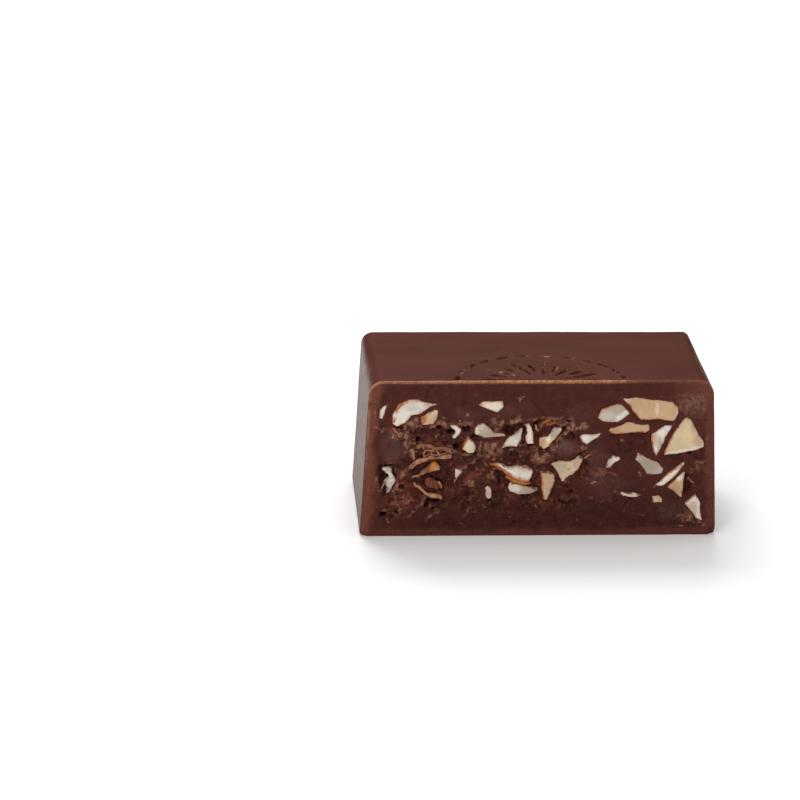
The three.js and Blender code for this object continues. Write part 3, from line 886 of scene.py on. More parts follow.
# Hollows with a clear edge in the cut: depth, softness of the edge, and outline, in millimetres.
CAVITIES = [
    (0.55, 0.15, [(-11.6, 10.0), (-9.9, 10.15), (-8.5, 10.0), (-7.3, 9.2), (-7.1, 7.8),
        (-8.1, 8.4), (-10.0, 8.75), (-11.5, 8.5)]),
    (0.3, 0.15, [(-11.5, 8.6), (-10.4, 8.7), (-8.0, 8.2), (-7.9, 7.6), (-10.4, 7.35), (-11.2, 7.1)]),
    (0.85, 0.25, [(-11.6, 5.9), (-11.0, 6.7), (-9.4, 7.1), (-8.0, 7.1), (-7.7, 6.3), (-8.3, 4.9),
        (-8.6, 4.1), (-10.3, 4.5), (-11.2, 5.1)]),
    (1.0, 0.22, [(-14.3, 6.7), (-13.6, 6.6), (-12.9, 6.1), (-12.7, 5.5), (-12.9, 4.9),
        (-13.2, 4.0), (-13.9, 3.8), (-14.3, 4.8)]),
    (0.3, 0.05, [(-3.15, 8.4), (-0.45, 8.45), (-0.4, 6.7), (-3.3, 6.85)]),
    (0.7, 0.15, [(-3.4, 10.4), (-2.0, 10.6), (-1.4, 10.5), (-1.4, 9.6), (-2.9, 9.5), (-3.4, 9.9)]),
    (0.7, 0.15, [(-0.7, 10.5), (-0.1, 10.9), (0.1, 9.9), (-0.2, 8.0), (-0.6, 8.6)]),
    (0.4, 0.12, [(0.1, 10.85), (1.0, 10.95), (1.9, 10.35), (0.9, 9.8), (0.1, 9.5)]),
    (0.6, 0.08, [(1.25, 8.6), (2.1, 9.9), (2.45, 10.5), (1.95, 10.3), (1.0, 8.8)]),
    (0.45, 0.15, [(-0.35, 6.65), (1.0, 6.6), (1.1, 6.1), (-0.2, 6.1)]),
    (0.6, 0.25, [(-6.4, 6.7), (-5.4, 7.1), (-4.7, 6.7), (-4.8, 5.9), (-6.0, 6.0)]),
    (0.25, 0.2, [(-5.2, 9.1), (-3.7, 9.1), (-3.4, 7.4), (-4.9, 7.1)]),
    (0.35, 0.2, [(-7.2, 7.4), (-6.0, 7.6), (-5.7, 7.2), (-6.9, 6.7)]),
    (0.25, 0.1, [(11.0, 7.5), (14.6, 8.1), (14.8, 7.2), (13.0, 6.9)]),
    (0.75, 0.16, [(13.1, 5.8), (13.5, 5.5), (13.6, 4.4), (13.2, 3.8), (13.0, 4.1)]),
    (0.18, 0.08, [(6.2, 9.6), (9.6, 9.6), (9.5, 8.0), (6.3, 7.6)]),
]
# Small pits: across, up, half width, half height and depth.
PITS = [
    (-13.9, 2.05, 0.42, 0.27, 0.8), (-12.7, 2.15, 0.3, 0.17, 0.5), (-10.05, 2.85, 0.26, 0.24, 0.8),
    (-10.9, 8.95, 0.26, 0.3, 0.9), (-9.05, 10.25, 0.3, 0.2, 0.7), (-7.5, 8.3, 0.3, 0.3, 0.6),
    (-8.1, 9.8, 0.3, 0.3, 0.7), (-7.75, 9.85, 0.2, 0.22, 0.8), (-6.6, 10.1, 0.45, 0.35, 0.5),
    (-12.3, 4.6, 0.35, 0.3, 0.5), (-12.6, 10.25, 0.45, 0.12, 0.5), (-4.4, 3.2, 0.3, 0.2, 0.7),
    (-1.5, 3.75, 0.22, 0.1, 0.5), (2.9, 4.0, 0.16, 0.16, 0.4), (1.9, 3.1, 0.14, 0.14, 0.4),
    (2.5, 10.75, 0.2, 0.16, 0.6), (8.3, 3.45, 0.2, 0.12, 0.3), (-2.2, 1.3, 0.16, 0.14, 0.3),
    (-9.3, 4.0, 0.3, 0.2, 0.5), (-9.5, 3.25, 0.9, 0.25, 0.4), (-1.4, 9.95, 0.12, 0.25, 0.5),
    (-0.8, 8.5, 0.35, 0.14, 0.4),
]
# Lumps that stand out of the torn praline: across, up, half width, half height and rise.
SWELLINGS = [
    (-5.6, 5.2, 1.5, 1.2, 0.4), (-13.3, 8.3, 1.2, 1.9, 0.3), (2.6, 8.2, 1.3, 1.3, 0.45),
    (-12.6, 3.3, 1.2, 0.7, 0.2), (-7.9, 4.0, 0.8, 0.8, 0.3), (-9.95, 9.05, 0.5, 0.4, 0.4),
    (-6.1, 4.9, 0.4, 0.25, 0.3), (-6.6, 7.65, 0.45, 0.3, 0.35), (0.3, 7.2, 0.7, 0.55, 0.25),
    (-13.3, 10.0, 0.6, 0.5, 0.3), (-11.3, 7.7, 0.35, 0.6, 0.3),
]
# Thin torn crests: half width, rise, paleness, and the line that they follow.
CRESTS = [
    (0.17, 0.22, 0.95, [(-12.1, 10.4), (-12.0, 9.3), (-11.9, 8.4), (-11.9, 7.8)]),
    (0.14, 0.25, 0.8, [(-11.4, 10.3), (-10.4, 10.35), (-9.4, 10.3), (-9.1, 10.7), (-8.6, 10.55),
        (-8.3, 10.2)]),
    (0.14, 0.2, 0.65, [(-8.5, 10.5), (-7.8, 10.6), (-6.2, 10.55)]),
    (0.12, 0.25, 0.8, [(-11.45, 9.1), (-11.3, 8.8), (-11.1, 8.6), (-10.7, 8.7)]),
    (0.15, 0.35, 0.85, [(-12.4, 5.5), (-12.0, 6.0), (-11.5, 6.5)]),
    (0.12, 0.2, 0.85, [(-13.1, 4.2), (-12.7, 3.6), (-12.2, 3.5)]),
    (0.14, 0.2, 0.9, [(-11.6, 4.0), (-11.4, 3.3)]),
    (0.12, 0.2, 0.75, [(-14.5, 5.6), (-14.6, 4.6), (-14.1, 4.3), (-13.9, 4.8), (-13.6, 5.1)]),
    (0.12, 0.16, 0.65, [(-10.1, 3.6), (-10.3, 3.1), (-10.9, 2.6), (-11.9, 1.8)]),
    (0.1, 0.12, 0.5, [(-8.9, 2.45), (-9.6, 2.0), (-10.1, 1.5)]),
    (0.11, 0.14, 0.5, [(-6.1, 4.5), (-6.1, 3.0), (-6.4, 2.3), (-6.9, 1.8)]),
    (0.17, 0.32, 0.7, [(-7.1, 6.3), (-6.3, 6.8), (-5.6, 7.15), (-5.2, 7.6)]),
    (0.12, 0.18, 0.6, [(-5.5, 7.1), (-4.85, 6.8), (-4.6, 6.3)]),
    (0.1, 0.12, 0.75, [(-7.5, 5.3), (-7.6, 5.0)]),
    (0.13, 0.18, 0.85, [(-4.6, 5.5), (-4.15, 5.4), (-4.1, 6.0)]),
    (0.14, 0.25, 0.7, [(-5.35, 8.8), (-5.3, 7.7), (-4.8, 7.3)]),
    (0.12, 0.22, 0.7, [(-4.9, 8.6), (-4.5, 8.2), (-3.9, 8.3), (-3.4, 7.8)]),
    (0.24, 0.32, 0.75, [(-3.85, 10.0), (-3.5, 10.6), (-2.6, 10.7), (-1.9, 10.95)]),
    (0.12, 0.16, 0.65, [(-1.9, 10.95), (-0.9, 10.9), (-0.3, 11.15)]),
    (0.14, 0.2, 0.8, [(0.0, 10.9), (0.05, 9.9)]),
    (0.11, 0.14, 0.75, [(0.6, 11.1), (1.6, 11.05), (2.7, 11.0)]),
    (0.13, 0.22, 0.9, [(1.1, 10.9), (1.5, 10.6), (2.1, 10.4), (2.75, 10.7)]),
    (0.2, 0.3, 0.95, [(2.6, 10.3), (2.4, 9.9), (1.9, 9.3), (1.4, 8.8), (1.2, 8.4), (1.15, 7.5)]),
    (0.17, 0.16, 0.85, [(2.9, 9.9), (3.5, 10.1), (4.1, 10.35)]),
    (0.14, 0.16, 0.75, [(-0.35, 8.2), (-0.3, 7.0)]), (0.1, 0.12, 0.75, [(13.6, 6.9), (14.8, 6.9)]),
    (0.09, 0.1, 0.75, [(13.7, 6.2), (14.5, 6.35)]),
    (0.08, 0.1, 0.45, [(3.5, 5.2), (5.0, 6.0), (7.0, 5.8)]),
    (0.12, 0.1, 0.5, [(12.9, 12.3), (12.95, 11.4)]), (0.12, 0.12, 0.6, [(-14.9, 11.6), (-15.0, 10.4)]),
    (0.1, 0.16, 0.8, [(-13.8, 2.5), (-13.5, 2.1), (-13.2, 1.9)]),
    (0.1, 0.12, 0.6, [(13.2, 2.1), (13.6, 1.5), (14.4, 0.9)]),
]
# Pink-tan, dusty patches of crumbled praline: across, up, half width, half height and strength.
DUSTY_PATCHES = [
    (-11.5, 10.75, 0.8, 0.55, 0.75), (-14.3, 10.1, 0.5, 0.3, 0.6), (-15.0, 11.3, 0.4, 0.7, 0.7),
    (-12.8, 9.7, 0.5, 0.45, 0.8), (-8.6, 11.1, 0.22, 0.2, 0.9), (-9.25, 9.3, 0.2, 0.2, 0.9),
    (-11.1, 9.0, 0.25, 0.22, 0.8), (-11.2, 7.7, 0.35, 0.8, 0.85), (-8.9, 10.5, 0.7, 0.3, 0.7),
    (-6.7, 10.5, 0.7, 0.3, 0.6), (-6.6, 7.6, 0.6, 0.3, 0.7), (-8.0, 7.7, 0.5, 0.6, 0.6),
    (-4.4, 8.1, 1.3, 1.1, 0.95), (-4.3, 10.8, 0.8, 0.6, 0.5), (-3.3, 10.4, 0.6, 0.5, 0.5),
    (-6.3, 4.85, 0.6, 0.4, 0.8), (-5.0, 2.8, 0.22, 0.18, 0.8), (-4.3, 5.7, 0.4, 0.4, 0.5),
    (0.2, 7.2, 0.9, 0.7, 0.95), (2.6, 10.4, 0.5, 0.5, 0.9), (1.1, 11.0, 1.2, 0.2, 0.7),
    (1.5, 8.2, 0.35, 0.8, 0.7), (3.9, 8.0, 0.55, 0.45, 0.8), (3.6, 10.2, 0.9, 0.3, 0.7),
    (-12.4, 5.9, 0.5, 0.5, 0.6), (-12.4, 3.7, 0.8, 0.4, 0.5), (-13.5, 2.2, 0.5, 0.3, 0.6),
    (-1.9, 12.8, 0.25, 0.15, 0.7), (-6.6, 11.4, 0.25, 0.15, 0.6), (7.1, 8.9, 0.3, 0.18, 0.6),
    (13.4, 12.9, 1.9, 1.2, 0.3), (14.2, 12.0, 1.3, 1.2, 0.22), (14.8, 9.2, 0.25, 0.3, 0.7),
    (14.2, 6.6, 0.7, 0.5, 0.5), (13.7, 5.2, 0.4, 0.4, 0.6), (9.1, 5.8, 0.22, 0.15, 0.9),
    (13.4, 1.8, 0.8, 0.9, 0.6), (14.7, 1.0, 0.6, 0.8, 0.6), (12.9, 0.4, 0.5, 0.3, 0.5),
    (4.9, 5.0, 0.4, 0.15, 0.8), (6.9, 4.3, 0.35, 0.2, 0.6), (5.2, 5.9, 1.0, 0.9, 0.4),
    (6.2, 3.2, 0.6, 0.35, 0.4), (5.0, 3.6, 0.4, 0.2, 0.5), (4.5, 2.5, 0.3, 0.15, 0.5),
    (8.2, 4.8, 0.4, 0.3, 0.5), (-12.0, 9.2, 0.3, 1.4, 0.7), (7.6, 2.4, 0.3, 0.15, 0.5),
    (10.6, 4.6, 0.3, 0.2, 0.5), (12.4, 12.1, 0.25, 0.5, 0.5), (9.4, 2.0, 0.4, 0.2, 0.4),
]
# Tinted patches: across, up, half width, half height and strength.
COOL_PATCHES = [
    (-13.1, 8.4, 1.3, 2.1, 0.8), (2.4, 8.4, 1.3, 1.2, 1.0), (5.0, 7.4, 1.8, 1.2, 0.5),
    (11.9, 2.2, 1.6, 1.4, 0.4), (14.0, 12.3, 1.3, 1.5, 0.7), (-4.3, 10.7, 0.8, 0.6, 0.6),
    (-11.4, 10.8, 0.6, 0.7, 0.8), (6.2, 4.6, 2.4, 1.6, 0.3), (3.6, 11.6, 2.0, 1.4, 0.3),
    (-3.0, 11.9, 3.0, 1.0, 0.25), (4.6, 5.4, 1.0, 0.8, 0.5), (-6.5, 11.4, 2.0, 0.8, 0.35),
]
WARM_PATCHES = [
    (-12.2, 3.4, 1.8, 1.1, 0.6), (-9.4, 8.2, 1.7, 0.5, 0.9), (0.8, 10.6, 0.9, 0.5, 1.0),
    (-13.2, 10.0, 0.8, 0.6, 0.9), (1.0, 10.5, 1.0, 0.5, 0.9), (0.3, 7.2, 0.9, 0.6, 0.6),
    (-9.95, 9.0, 0.6, 0.5, 1.0), (-0.4, 8.9, 0.3, 1.8, 0.8), (3.9, 8.0, 0.6, 0.6, 0.9),
    (-14.8, 4.6, 0.7, 2.6, 0.6), (-10.3, 3.5, 0.5, 0.6, 0.8), (-6.3, 5.0, 0.5, 0.7, 0.5),
    (-7.4, 10.5, 1.3, 0.25, 0.8), (-15.2, 2.2, 0.8, 2.2, 0.5), (-11.3, 7.7, 0.4, 0.7, 0.8),
    (-6.6, 7.65, 0.5, 0.3, 0.7), (14.2, 6.8, 0.8, 0.3, 0.6), (4.0, 9.6, 1.6, 1.0, 0.3),
]


def patch(across, up, place, sharp=0.4):
    """A soft elliptic mask: 1 in its middle and 0 outside, steeper as sharp nears 1."""
    x, z, half_width, half_height = place
    away = np.hypot((across - x) / half_width, (up - z) / half_height)
    return 1 - smoothstep(sharp, 1.0, away)


def patches(across, up, places):
    """The strongest of several soft patches."""
    return np.max([strength * patch(across, up, place, 0.3) for *place, strength in places], axis=0)


def line_distance(places, line):
    """Distance to an open line of straight stretches."""
    nearest = np.full(len(places), 99.0)
    for start, stop in zip(np.array(line[:-1]), np.array(line[1:])):
        run = stop - start
        share = np.clip((places - start) @ run / (run @ run), 0, 1)
        nearest = np.minimum(nearest, np.linalg.norm(places - start - share[:, None] * run, axis=1))
    return nearest


def wander(places):
    """Small shifts of places on the cut, which make straight outlines natural."""
    return drift(flattened(places), 0.07, 1.1, 2, (61.0, 67.0))


def broken(points, size, seed):
    """Flat facets of broken chocolate about size across: each has its own height and tilt, about 0."""
    shift = seed_shift(seed, CELL_SHIFT)
    centre = Vector((0.5, 0.5, 0.5))
    heights = np.empty(len(points))
    for i, point in enumerate(points / size):
        place = Vector(point) + shift
        middle = noise.voronoi(place)[1][0]
        lean = noise.cell_vector(middle * 7.3)
        heights[i] = (lean - centre).dot(place - middle) * 1.2 + lean.x - 0.5
    return heights


def face_grid(m):
    """The praline's cut face as a grid with round corners, before the walls lean."""
    half, low, high = m.side / 2 - m.wall, m.floor, m.height - m.roof
    across, up = np.meshgrid(spaced(-half, half, m.face_grid), spaced(low, high, m.face_grid), indexing="ij")
    radius = np.where(up > (low + high) / 2, INNER_RADIUS, m.foot_radius)
    over_x = np.clip((np.abs(across) - (half - radius)) / radius, 0, 1)
    middle = (low + high) / 2
    over_z = np.clip((np.abs(up - middle) - ((high - low) / 2 - radius)) / radius, 0, 1)
    away = np.hypot(over_x, over_z)
    shrink = np.where(away > 0, np.maximum(over_x, over_z) / np.maximum(away, 1e-9), 1)
    across -= np.sign(across) * radius * over_x * (1 - shrink)
    up -= np.sign(up - middle) * radius * over_z * (1 - shrink)
    return across, up


def nut_field(places):
    """Signed distance from places on the cut to the nearest chopped piece, and that piece's inset."""
    near, inset = np.full(len(places), 9.0), np.zeros(len(places))
    for node in chopped_nodes("nut_") + chopped_nodes("flake_"):
        outline, back = front_outline(node)
        distance, _ = outline_distance(places, outline)
        inset = np.where(distance < near, back, inset)
        near = np.minimum(near, distance)
    return near, inset


POCKET_MARGIN = 0.36  # the CAD's surface counts as torn praline this far from each chopped piece
TEAR_LIMIT = 1.5  # and where it lies no deeper than this


def torn_base(points, near, shape):
    """The CAD praline's tear, without its pockets: read off the CAD and filled in across each pocket."""
    origins = points.copy()
    origins[:, 1] = FRONT - RAY_START
    depth = cad_distance(cad_tree("praline"), origins, (0, 1, 0), 4.0) - RAY_START
    known = ((near > POCKET_MARGIN) & (depth < TEAR_LIMIT)).astype(float).reshape(shape)
    depth = depth.reshape(shape)
    weight = blurred(known, 9)
    filled = blurred(depth * known, 9) / np.maximum(weight, 1e-4)
    filled = np.where(weight > 1e-3, filled, 0)
    return blurred(np.where(known > 0, depth, filled), 3).ravel()


ROUGH_PATCH = (6.4, 4.4, 4.2, 2.4)  # where the clean cut is rougher, as for patch
NUT_BED = 0.45  # the praline lies this far behind the front of each chopped piece
RELIEF_LIMITS = (-0.12, 2.6)


def praline_relief(points, shape):
    """Depth of the cut face behind the cut, and its masks."""
    x, z = points[:, 0], points[:, 2]
    places = points[:, [0, 2]]
    plane = flattened(places)
    shifted = places - wander(places)
    near, inset = nut_field(shifted)
    base = torn_base(points, near, shape)
    torn = smoothstep(0.1, 0.34, base + 0.14 * lumps(plane, 1.1, 4, 1.7))
    bent = plane + drift(plane, 0.3, 0.8, 3, (3.0, 4.0, 5.0))
    rubble = 0.3 * broken(bent, 1.5, 2.1) + 0.16 * broken(bent, 0.6, 7.7) + 0.05 * lumps(plane, 0.25, 3, 9.0)
    depth = cut_wave(points) + torn * np.clip(0.35 * base + 0.16 + rubble, 0, 2)
    for deep, edge, outline in CAVITIES:
        inside = smoothstep(edge, -edge, outline_distance(shifted, np.array(outline))[0])
        depth = np.maximum(depth, inside * (0.8 * deep + 0.9 * rubble))
    for *place, deep in PITS:
        depth += deep * patch(*shifted.T, place, 0.5)
    for *place, rise in SWELLINGS:
        depth -= np.clip(depth - 0.04, 0, rise) * patch(x, z, place, 0.35)

    low = low_share(points)
    grit = np.maximum(low * smoothstep(4.6, 3.0, z), 0.6 * smoothstep(12.4, 14.6, x))
    rough = patch(x, z, ROUGH_PATCH, 0.3)
    holes = (1 - smoothstep(0.08, 0.26, cells(plane, 0.8, 11.0)[0])) * grit
    depth += (0.12 * rough + 0.05 * grit) * (0.3 + broken(bent, 0.75, 13.0)) * (1 - torn)
    depth += grit * 0.05 * lumps(plane, 0.3, 3, 6.1) + 0.13 * holes + 0.015 * lumps(plane, 0.14, 2, 8.3)

    pale = np.zeros(len(points))
    jagged = places + drift(plane, 0.22, 0.7, 4, (71.0, 73.0))
    uneven = mottled(plane, 0.6, 1.3, 0.55, 3, 17.0, high=1.2)
    dusty = mottled(plane, 0.7, 1.2, 0.3, 3, 23.0)
    for half_width, rise, paleness, line in CRESTS:
        profile = hump(line_distance(jagged, line), half_width) * uneven
        depth -= rise * profile
        pale = np.maximum(pale, paleness * dusty * np.clip(profile * 1.4, 0, 1))
    crevice = 0.16 * hump(near - 0.03, 0.08) * smoothstep(-0.1, 0.4, lumps(plane, 1.3, 2, 5.2))
    depth = np.where(near < -0.06, np.maximum(depth, inset + NUT_BED), depth + crevice)
    depth = np.clip(depth, *RELIEF_LIMITS)

    proud = (blurred(depth.reshape(shape), 6).ravel() - depth) * (near > 0.06)
    ragged = (places + drift(plane, 0.5, 1.0, 4, (81.0, 82.0))).T
    # Painted highlight: tips that stand proud of their surroundings take the crest colour.
    tip_highlights = smoothstep(0.04, 0.22, proud) * torn * smoothstep(-0.15, 0.35, lumps(plane, 0.9, 3, 19.0)) * 0.8
    crumbled = patches(*ragged, DUSTY_PATCHES) * mottled(plane, 0.6, 1.3, 0.45, 3, 27.0)
    round_nuts = 0.5 * np.exp(-np.clip(near, 0, 9) / 0.12)
    masks = {
        # Pale crests and dusty patches, with painted highlights on proud tips.
        "crest": np.maximum.reduce([pale, tip_highlights, crumbled]),
        "torn": torn * smoothstep(0.9, 0.4, depth),
        # Painted shade: darker in the deep hollows and where the face sinks below its surroundings.
        "deep": smoothstep(0.35, 1.1, depth) * 0.7 + smoothstep(-0.05, -0.25, proud) * 0.4,
        "grit": 0.4 + 0.6 * np.maximum(grit, 0.6 * torn),
        "cool": patches(*ragged, COOL_PATCHES) * (0.75 + 0.5 * lumps(plane, 1.1, 3, 3.3)),
        "warm": np.maximum(patches(*ragged, WARM_PATCHES), round_nuts),
        "low": low,
    }
    return depth, masks


def make_praline():
    """The filling: its fine cut face, and plain sides and back inside the shell."""
    m = measures()
    across, up = face_grid(m)
    shape = across.shape
    points = leaned(m, across.ravel(), np.zeros(across.size), up.ravel())
    depth, masks = praline_relief(points, shape)
    masks["rind"] = rind_share(m, points)
    index = np.arange(across.size).reshape(shape)
    border = np.concatenate([index[0, :-1], index[:-1, -1], index[-1, :0:-1], index[:0:-1, 0]])
    steps = np.indices(shape)
    steps_in = np.minimum.reduce([*steps, *[n - 1 - i for n, i in zip(shape, steps)]])
    depth += (cut_wave(points) - depth) * smoothstep(4, 0, steps_in.ravel())
    points[:, 1] += depth
    quads = np.stack([index[:-1, :-1], index[1:, :-1], index[1:, 1:], index[:-1, 1:]], -1)
    faces = quads.reshape(-1, 4).tolist()

    loops = [points]
    previous, total = border, len(points)
    inside_depth = m.side / 2 - m.wall - 0.05
    for back in (1.0, 6.0, inside_depth):
        loops.append(leaned(m, across.ravel()[border], np.full(len(border), back), up.ravel()[border]))
        current = total + np.arange(len(border))
        faces += np.stack([previous, np.roll(previous, -1), np.roll(current, -1), current], -1).tolist()
        previous, total = current, total + len(border)
    loops.append(leaned(m, np.zeros(1), np.full(1, inside_depth), np.full(1, m.height / 2)))
    faces += [(a, b, total) for a, b in zip(previous.tolist(), np.roll(previous, -1).tolist())]
    points = np.vstack(loops)
    plain = np.zeros(len(points) - across.size)
    masks = {name: np.concatenate([values, plain]) for name, values in masks.items()}
    material = cut_finish("nut_praline", bpy.context.scene.chocolate_colours)
    add_piece("nut_praline", points, faces, ["praline"], [material], masks, PRALINE_CREASE)


# --- chopped nuts and flakes ---------------------------------------------------------------

# Bevelled facets of a nut's cut face: the direction that each faces, in degrees from +X towards +Z,
# how wide it is, how steeply it falls back, and how pale it is painted, a painted highlight for its lit
# tilt.
FACETS = {
    "nut_04": [(-60, 0.3, 0.3, 0.8)], "nut_06": [(190, 0.5, 0.15, 0.8)],
    "nut_07": [(-80, 0.4, 0.25, 0.6)], "nut_10": [(130, 0.35, 0.3, 1)], "nut_12": [(-48, 0.75, 0.4, 1)],
    "nut_13": [(160, 0.6, 0.25, 0.7), (-15, 0.3, 0.3, 0.5)], "nut_14": [(-90, 0.15, 0.2, 0.3)],
    "nut_15": [(48, 0.75, 0.25, 1)], "nut_16": [(-76, 0.45, 0.4, 1), (28, 0.5, 0.15, 0)],
    "nut_17": [(200, 0.25, 0.3, 0.5)], "nut_18": [(15, 0.45, 0.35, 1)],
    "nut_20": [(62, 0.62, 0.3, 0.15)], "nut_21": [(25, 0.4, 0.3, 0.8)],
    "nut_24": [(175, 0.3, 0.2, 0.1)], "nut_25": [(-110, 0.5, 0.25, 0.5), (-20, 0.6, 0.2, 0.1)],
}
# Skin left on a nut: the direction that the skinned edge faces, and its width.
SKINS = {
    "nut_02": (150, 0.42), "nut_03": (190, 0.7), "nut_07": (150, 0.16), "nut_13": (240, 0.16),
    "nut_14": (262, 0.2), "nut_15": (190, 0.2), "nut_16": (155, 0.2), "nut_19": (130, 0.2),
    "nut_20": (140, 0.14), "nut_21": (150, 0.26), "nut_22": (-105, 0.6), "nut_24": (190, 0.18),
    "nut_12": (100, 0.14), "nut_06": (180, 0.14),
}
# Tinted places on the nuts, by kind: across, up, half width, half height and strength.
TINTS = {
    "pale": [
        (-9.6, 11.7, 0.5, 0.4, 0.4), (-4.3, 12.2, 1.2, 0.6, 0.75), (-5.4, 10.3, 0.5, 0.4, 0.4),
        (-6.4, 8.6, 0.6, 0.7, 0.5), (-1.1, 9.6, 0.4, 0.8, 0.7), (0.7, 9.2, 0.28, 0.5, 0.9),
        (4.1, 9.2, 0.5, 0.4, 0.8), (7.2, 11.1, 0.9, 0.45, 1.0), (5.8, 11.3, 0.9, 0.6, 0.35),
        (10.3, 11.9, 0.24, 0.85, 0.45), (7.6, 12.9, 0.6, 0.3, 0.5), (6.8, 7.25, 0.35, 0.25, 1.0),
        (11.0, 5.2, 0.9, 0.5, 0.9), (12.55, 5.5, 0.5, 0.6, 0.85), (13.9, 3.5, 0.45, 0.45, 0.9),
        (-2.5, 5.95, 0.9, 0.3, 1.0), (-1.6, 5.6, 0.6, 0.25, 0.8), (-2.2, 4.5, 0.8, 0.5, 0.7),
        (0.5, 4.6, 0.5, 1.0, 0.12), (-13.4, 5.3, 0.5, 0.8, 0.5), (10.3, 3.4, 0.4, 0.3, 0.5),
    ],
    "cool": [
        (-11.0, 11.9, 0.9, 0.5, 0.4), (-2.2, 9.4, 0.6, 0.5, 0.7), (1.4, 9.8, 0.6, 0.6, 0.4),
        (11.3, 10.1, 0.4, 0.4, 0.6), (10.7, 6.2, 0.5, 0.4, 0.6), (-13.3, 4.9, 0.6, 1.4, 0.7),
        (-7.2, 5.8, 0.4, 0.5, 0.6),
    ],
    "rosy": [
        (-13.2, 11.2, 0.3, 0.8, 0.7), (-9.9, 12.35, 0.9, 0.35, 0.9), (-5.7, 9.9, 0.5, 0.4, 0.4),
        (-6.4, 7.9, 0.6, 0.3, 0.7), (-0.9, 8.9, 0.4, 0.4, 0.4), (4.6, 9.3, 0.8, 0.4, 0.4),
        (5.3, 11.2, 0.3, 0.3, 0.3), (12.0, 11.6, 0.5, 0.9, 0.7), (8.1, 12.3, 0.9, 0.7, 0.4),
        (9.3, 10.1, 0.5, 0.4, 0.8), (10.1, 9.2, 0.6, 1.1, 0.8), (14.2, 9.0, 0.8, 1.1, 0.85),
        (13.7, 10.2, 0.5, 1.0, 0.7), (11.4, 8.2, 0.5, 0.6, 0.3), (12.6, 10.4, 0.3, 0.8, 0.3),
        (6.2, 7.2, 0.6, 0.4, 0.5), (12.4, 6.4, 0.5, 0.4, 0.7), (13.9, 2.6, 0.6, 1.3, 0.7),
        (-1.1, 6.1, 0.5, 0.4, 0.2), (3.4, 6.8, 0.7, 1.0, 0.9), (1.9, 5.4, 0.5, 0.5, 0.8),
        (8.2, 3.8, 1.2, 0.3, 0.5), (-4.4, 4.1, 0.4, 0.6, 0.6), (-14.1, 11.4, 0.3, 0.9, 0.3),
    ],
    "dull": [
        (-11.6, 12.1, 1.2, 0.5, 0.3), (-9.4, 11.2, 0.3, 0.6, 0.4), (-4.2, 9.6, 1.3, 0.4, 0.7),
        (1.25, 9.7, 0.7, 0.7, 0.85), (7.8, 12.7, 0.7, 0.3, 0.4), (10.7, 8.6, 0.4, 1.1, 0.7),
        (9.8, 6.6, 1.6, 1.2, 0.75), (6.0, 6.8, 0.6, 0.7, 0.6), (-0.7, 4.35, 1.0, 0.6, 1.0),
        (1.9, 6.4, 1.3, 0.8, 0.55), (2.6, 6.3, 0.25, 0.25, 1.0), (3.5, 6.9, 0.7, 0.9, 0.5),
        (-4.6, 3.9, 0.4, 0.6, 0.4),
    ],
    "skin": [
        (-10.6, 11.1, 0.6, 1.0, 0.85), (-5.4, 12.4, 0.4, 0.2, 0.5), (0.1, 8.9, 0.5, 0.7, 0.55),
        (6.6, 9.9, 0.9, 0.4, 0.3), (12.2, 4.4, 0.7, 0.8, 0.25), (13.2, 3.6, 0.4, 0.3, 0.9),
        (-4.4, 6.55, 1.1, 0.5, 1.0), (-2.4, 5.35, 0.7, 0.3, 1.0), (-1.5, 5.1, 0.8, 0.3, 1.0),
        (-1.3, 6.35, 0.9, 0.4, 0.35),
    ],
}
# How craggy some nuts are, in millimetres.
CRAGGY = {"nut_28": 0.2, "nut_25": 0.1, "nut_09": 0.06, "nut_08": 0.05, "nut_05": 0.04, "nut_30": 0.08}
# Nuts with few dull spots and little chocolate smeared on them.
CLEAN = ("nut_02", "nut_04", "nut_05", "nut_08", "nut_09", "nut_11", "nut_13", "nut_16", "nut_19", "nut_28")


def remeshed(node, grid, rounding):
    """A CAD piece as an even, fine, slightly rounded mesh: points in millimetres, and faces."""
    mesh = frame["nodes"][node].data.copy()
    mesh.transform(Matrix.Scale(1 / MM, 4))
    temporary = bpy.data.objects.new("temporary", mesh)
    bpy.context.scene.collection.objects.link(temporary)
    weld = temporary.modifiers.new("weld", "WELD")
    weld.merge_threshold = 0.001
    even = temporary.modifiers.new("even", "REMESH")
    even.mode = "VOXEL"
    even.voxel_size = grid
    soften = temporary.modifiers.new("soften", "SMOOTH")
    soften.factor = 0.5
    soften.iterations = rounding
    finished = temporary.evaluated_get(bpy.context.evaluated_depsgraph_get())
    made = bpy.data.meshes.new_from_object(finished)
    points = np.empty(len(made.vertices) * 3)
    made.vertices.foreach_get("co", points)
    faces = [tuple(face.vertices) for face in made.polygons]
    bpy.data.objects.remove(temporary)
    bpy.data.meshes.remove(made)
    bpy.data.meshes.remove(mesh)
    return points.reshape(-1, 3), faces


def front_share(points, inset, far, near=0.0):
    """1 at a chopped piece's cut front, falling to 0 from near to far behind it, in millimetres."""
    return smoothstep(FRONT + inset + far, FRONT + inset + near, points[:, 1])


def direction(angle):
    """The direction in the cut at an angle in degrees."""
    return np.array([math.cos(math.radians(angle)), math.sin(math.radians(angle))])


def facet(places, outline, angle, width):
    """How far places lie inside a facet that faces along an angle at the outline's edge."""
    towards = direction(angle)
    along = places @ towards + 0.12 * lumps(flattened(places), 0.6, 2, angle)
    return np.clip(along - (outline @ towards).max() + width, 0, None)


